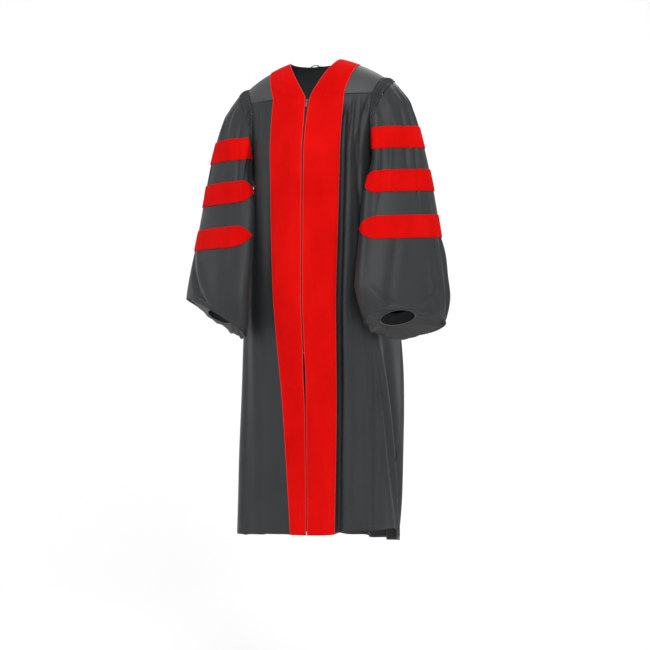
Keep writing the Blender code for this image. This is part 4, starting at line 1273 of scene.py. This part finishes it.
def build_cuff(materials, side, word, rim_points):
    """The sleeve's end, turned under and drawn in to the short cuff."""
    count = len(rim_points)
    angles = [360.0 * j / count for j in range(count)]
    rim = rim_points - np.array([0.0, 0.0, CUFF_START])
    mouth = np.array([settle((side * x, y, z)) for x, y, z in mouth_ring(side, 1.0, 0.0, angles)])
    narrow = mouth_ring(side, MOUTH_NARROWS, CUFF_DEPTH, angles)
    inner = np.array([settle((side * x, y, z)) for x, y, z in narrow])
    behind = 0.5 + 0.5 * np.cos(np.radians(np.array(angles) + SLEEVE_START_ANGLE - RIM_LOW_ANGLE))
    hang = CUFF_FRONT_LIFT + (1.0 - CUFF_FRONT_LIFT) * behind
    rings = []
    for share, drop in CUFF_KNOTS:
        ring = rim + (mouth - rim) * share
        ring[:, 2] -= drop * hang
        rings.append(ring)
    rings += [mouth + (inner - mouth) * share for share in (0.0, 0.15, 0.5, 1.0)]
    patch = Patch(np.array(rings), wrap=True)
    levels = np.linspace(0, patch.last_row, patch.last_row * CUFF_FINE + 1)
    v, u = np.meshgrid(levels, np.arange(count), indexing="ij")
    base = patch.at(v, u.astype(float))
    out = normals(base, True) * -side
    turn = np.radians(u * 360.0 / count)
    spread = np.sin(np.pi * np.clip((v - 0.3) / 6.6, 0.0, 1.0))
    fine = np.cos(turn * 19.0 + 1.9 * np.sin(turn * 3.0 + side)) ** 3
    broad = 0.6 - np.abs(np.sin(turn * 3.5 + 1.1 * np.sin(turn * 2.0 + side) + 0.35 * v))
    relief = (CUFF_FINE_FOLD * fine + CUFF_BROAD_FOLD * broad * np.clip(behind, 0.25, 1.0)[None, :]) * spread
    relief += EDGE_BEAD * np.exp(-(((v - len(CUFF_KNOTS)) / EDGE_BEAD_HALF) ** 2))
    # The turned-under cloth takes the darker cloth copy: painted shade under the sleeve's end.
    cuff = cloth_piece(
        "gown_cuff_" + word, base + out * relief[..., None], SHELL, materials["under"],
        ["cuff_" + word], wrap=True, turned=side > 0,
    )
    # The cuff's faces inside the mouth take the near-black material: painted shade inside the sleeve.
    cuff.data.materials.append(materials["painted_shade"])
    # A pale cord round the mouth: its light grey is a painted highlight on the edge.
    edge = mouth + out[len(CUFF_KNOTS) * CUFF_FINE] * (EDGE_BEAD + SHELL)
    cord_object("gown_cuff_edge_" + word, edge, EDGE_RADIUS, EDGE_SIDES, materials["painted_highlight_edge"], True)
    first_inside = (len(CUFF_KNOTS) * CUFF_FINE + 1) * count
    for face in cuff.data.polygons:
        if face.index >= first_inside:
            face.material_index = 1


def cord_object(name, points, radius, resolution, material, closed):
    """A round edge or cord along these points."""
    curve = bpy.data.curves.new(name, "CURVE")
    curve.dimensions = "3D"
    curve.bevel_depth = radius
    curve.bevel_resolution = resolution
    curve.use_fill_caps = not closed
    spline = curve.splines.new("POLY")
    spline.points.add(len(points) - 1)
    for place, point in zip(spline.points, points):
        place.co = (point[0], point[1], point[2], 1.0)
    spline.use_cyclic_u = closed
    curve.materials.append(material)
    cord = add_object(name, curve)
    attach(cord, "gown")
    return cord


def small_blocks(name, places, size, material):
    """Many small bevelled blocks as one mesh; each place is a point, a direction along and a normal."""
    block = bmesh.new()
    bmesh.ops.create_cube(block, size=1.0)
    edges = list(block.edges)
    bmesh.ops.bevel(block, geom=edges, offset=0.18, segments=1, affect="EDGES")
    corners = np.array([vert.co[:] for vert in block.verts])
    shapes = [[vert.index for vert in face.verts] for face in block.faces]
    block.free()
    verts, faces = [], []
    for point, along, normal in places:
        along = np.array(along) / np.linalg.norm(along)
        normal = np.array(normal) / np.linalg.norm(normal)
        side = np.cross(along, normal)
        basis = np.stack([side * size[0], normal * size[1], along * size[2]])
        start = len(verts)
        verts.extend((np.array(point) + corners @ basis).tolist())
        faces.extend([[start + k for k in shape] for shape in shapes])
    obj = mesh_object(name, verts, faces, material)
    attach(obj, "gown")


def run_places(line, normal_line, pitch, lift):
    """Evenly spaced places along a line of points."""
    steps = np.linalg.norm(np.diff(line, axis=0), axis=1)
    reach = np.concatenate([[0.0], np.cumsum(steps)])
    places = []
    for distance in np.arange(pitch / 2.0, reach[-1], pitch):
        point = np.array([np.interp(distance, reach, line[:, k]) for k in range(3)])
        ahead = np.array([np.interp(min(distance + 0.001, reach[-1]), reach, line[:, k]) for k in range(3)])
        behind = np.array([np.interp(distance - 0.001, reach, line[:, k]) for k in range(3)])
        normal = np.array([np.interp(distance, reach, normal_line[:, k]) for k in range(3)])
        places.append((point + normal * lift, ahead - behind, normal))
    return places


def build_zip_teeth(materials):
    """Two rows of teeth that meet on the centre line, over the tapes."""
    for side, word in ((1, "left"), (-1, "right")):
        places = []
        shift = 0.5 if side > 0 else 0.0
        for step in range(int((SLIDER_Z - STOP_Z - TEETH_ROOM) / TOOTH_PITCH)):
            z = SLIDER_Z - TEETH_START - (step + shift) * TOOTH_PITCH
            y, lean = front_middle(z)
            normal = (0.0, -math.cos(lean), math.sin(lean))
            point = (side * TOOTH_ASIDE, y + TOOTH_BACK * math.cos(lean), z - TOOTH_BACK * math.sin(lean))
            places.append((point, (0.0, math.sin(lean), math.cos(lean)), normal))
        small_blocks("zip_teeth_" + word, places, TOOTH_SIZE, materials["tape"])


def build_stitches(materials):
    """Rows of sewing: below the yoke seams, and along the gown's hem."""
    for side, word in ((1, "left"), (-1, "right")):
        front = bpy.data.objects["gown_front_" + word]
        count = FRONT_COUNT_COLUMNS
        total = len(front.data.vertices) // count
        points = np.array([vert.co[:] for vert in front.data.vertices]).reshape(total, count, 3)
        out = normals(points, False) * side
        first = FRONT_VELVET * 3 + 1
        places = run_places(points[2, first:], out[2, first:], SEAM_STITCH, STITCH_LIFT)
        places += run_places(points[-3, first:], out[-3, first:], HEM_STITCH, STITCH_LIFT)
        small_blocks("stitches_front_" + word, places, FRONT_STITCH_SIZE, materials["thread"])


def build_loop(materials):
    points = []
    for step in range(LOOP_STEPS + 1):
        turn = math.pi * step / LOOP_STEPS
        x = LOOP_X + LOOP_HALF * math.cos(turn)
        edge = arch_point(x, neck_degrees(x))
        up = LOOP_RISE * math.sin(turn) - LOOP_SINK
        points.append((x, edge[1] - LOOP_IN, edge[2] + up))
    # The loop takes the near-black material: painted shade at the back neck.
    loop = cord_object("gown_neck_loop", points, LOOP_THICK, LOOP_SIDES, materials["painted_shade"], False)
    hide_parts("neck_loop")


def finish_metal(materials):
    for node, key in (("zip_slider", "metal"), ("zip_pull", "metal"), ("zip_stop", "metal"),
                      ("zip_tape_left", "tape"), ("zip_tape_right", "tape")):
        obj = bpy.data.objects[node]
        if not obj.material_slots:
            obj.data.materials.append(materials[key])
        for place in obj.material_slots:
            place.material = materials[key]


def make_stage():
    """A plain pale floor that runs up into a backdrop."""
    start = FLOOR_BACK - FLOOR_BEND
    profile = [(-6.0, FLOOR_Z), (start, FLOOR_Z)]
    for step in range(1, 13):
        turn = math.pi / 2.0 * step / 12
        rise = FLOOR_BEND * (1.0 - math.cos(turn))
        profile.append((start + FLOOR_BEND * math.sin(turn), FLOOR_Z + rise))
    profile.append((FLOOR_BACK, FLOOR_Z + 7.0))
    verts = [(x, y, z) for y, z in profile for x in (-9.0, 9.0)]
    faces = [[2 * k, 2 * k + 1, 2 * k + 3, 2 * k + 2] for k in range(len(profile) - 1)]
    material, _ = shader_material("pale_paper", (0.92, 0.92, 0.92), 0.95, 0.0, (1.0, 1.0, 1.0))
    floor = mesh_object("pale_floor", verts, faces, material)
    floor.rotation_euler = (0.0, 0.0, math.radians(CAMERA_TURN))


def soft_light(name, place, aim, size, power_watts):
    data = bpy.data.lights.new(name, "AREA")
    data.shape = "RECTANGLE"
    data.size = size
    data.size_y = size
    data.energy = power_watts
    obj = add_object(name, data)
    obj.location = place
    direction = np.array(aim) - np.array(place)
    flat = math.hypot(direction[0], direction[1])
    obj.rotation_euler = (math.atan2(flat, -direction[2]), 0.0, math.atan2(-direction[0], direction[1]))


def make_light():
    world = bpy.data.worlds.new("studio")
    bpy.context.scene.world = world
    world.use_nodes = True
    background = world.node_tree.nodes["Background"]
    background.inputs["Color"].default_value = (1.0, 1.0, 1.0, 1.0)
    background.inputs["Strength"].default_value = WORLD_STRENGTH
    soft_light("key", (1.5, -3.2, 1.5), (0.0, 0.0, -0.5), 1.5, KEY_WATTS)
    soft_light("fill", (-2.6, -2.6, 0.8), (0.0, 0.0, -0.7), 2.0, FILL_WATTS)
    soft_light("rim", (0.6, 2.6, 2.2), (0.0, 0.0, -0.4), 1.6, RIM_WATTS)
    bpy.context.scene.view_settings.view_transform = "Standard"


def make_camera():
    data = bpy.data.cameras.new("camera")
    frame_width = IMAGE_PIXELS * METRES_PER_PIXEL
    data.lens = SENSOR * CAMERA_FAR / frame_width
    data.sensor_width = SENSOR
    turn = math.radians(CAMERA_TURN)
    aside = (IMAGE_PIXELS / 2.0 - ORIGIN_PIXEL_X) * METRES_PER_PIXEL
    height = (ORIGIN_PIXEL_Y - IMAGE_PIXELS / 2.0) * METRES_PER_PIXEL
    data.shift_y = (height - CAMERA_Z) / frame_width
    camera = add_object("camera", data)
    x = aside * math.cos(turn) + CAMERA_FAR * math.sin(turn)
    y = aside * math.sin(turn) - CAMERA_FAR * math.cos(turn)
    camera.location = (x, y, CAMERA_Z)
    camera.rotation_euler = (math.pi / 2.0, 0.0, turn)
    bpy.context.scene.camera = camera


materials = make_materials()
make_camera()
make_stage()
make_light()
build_fronts(materials)
build_back(materials)
build_sleeve(materials, 1, "left")
build_sleeve(materials, -1, "right")
build_zip_teeth(materials)
build_stitches(materials)
build_loop(materials)
finish_metal(materials)

bpy.context.view_layer.update()
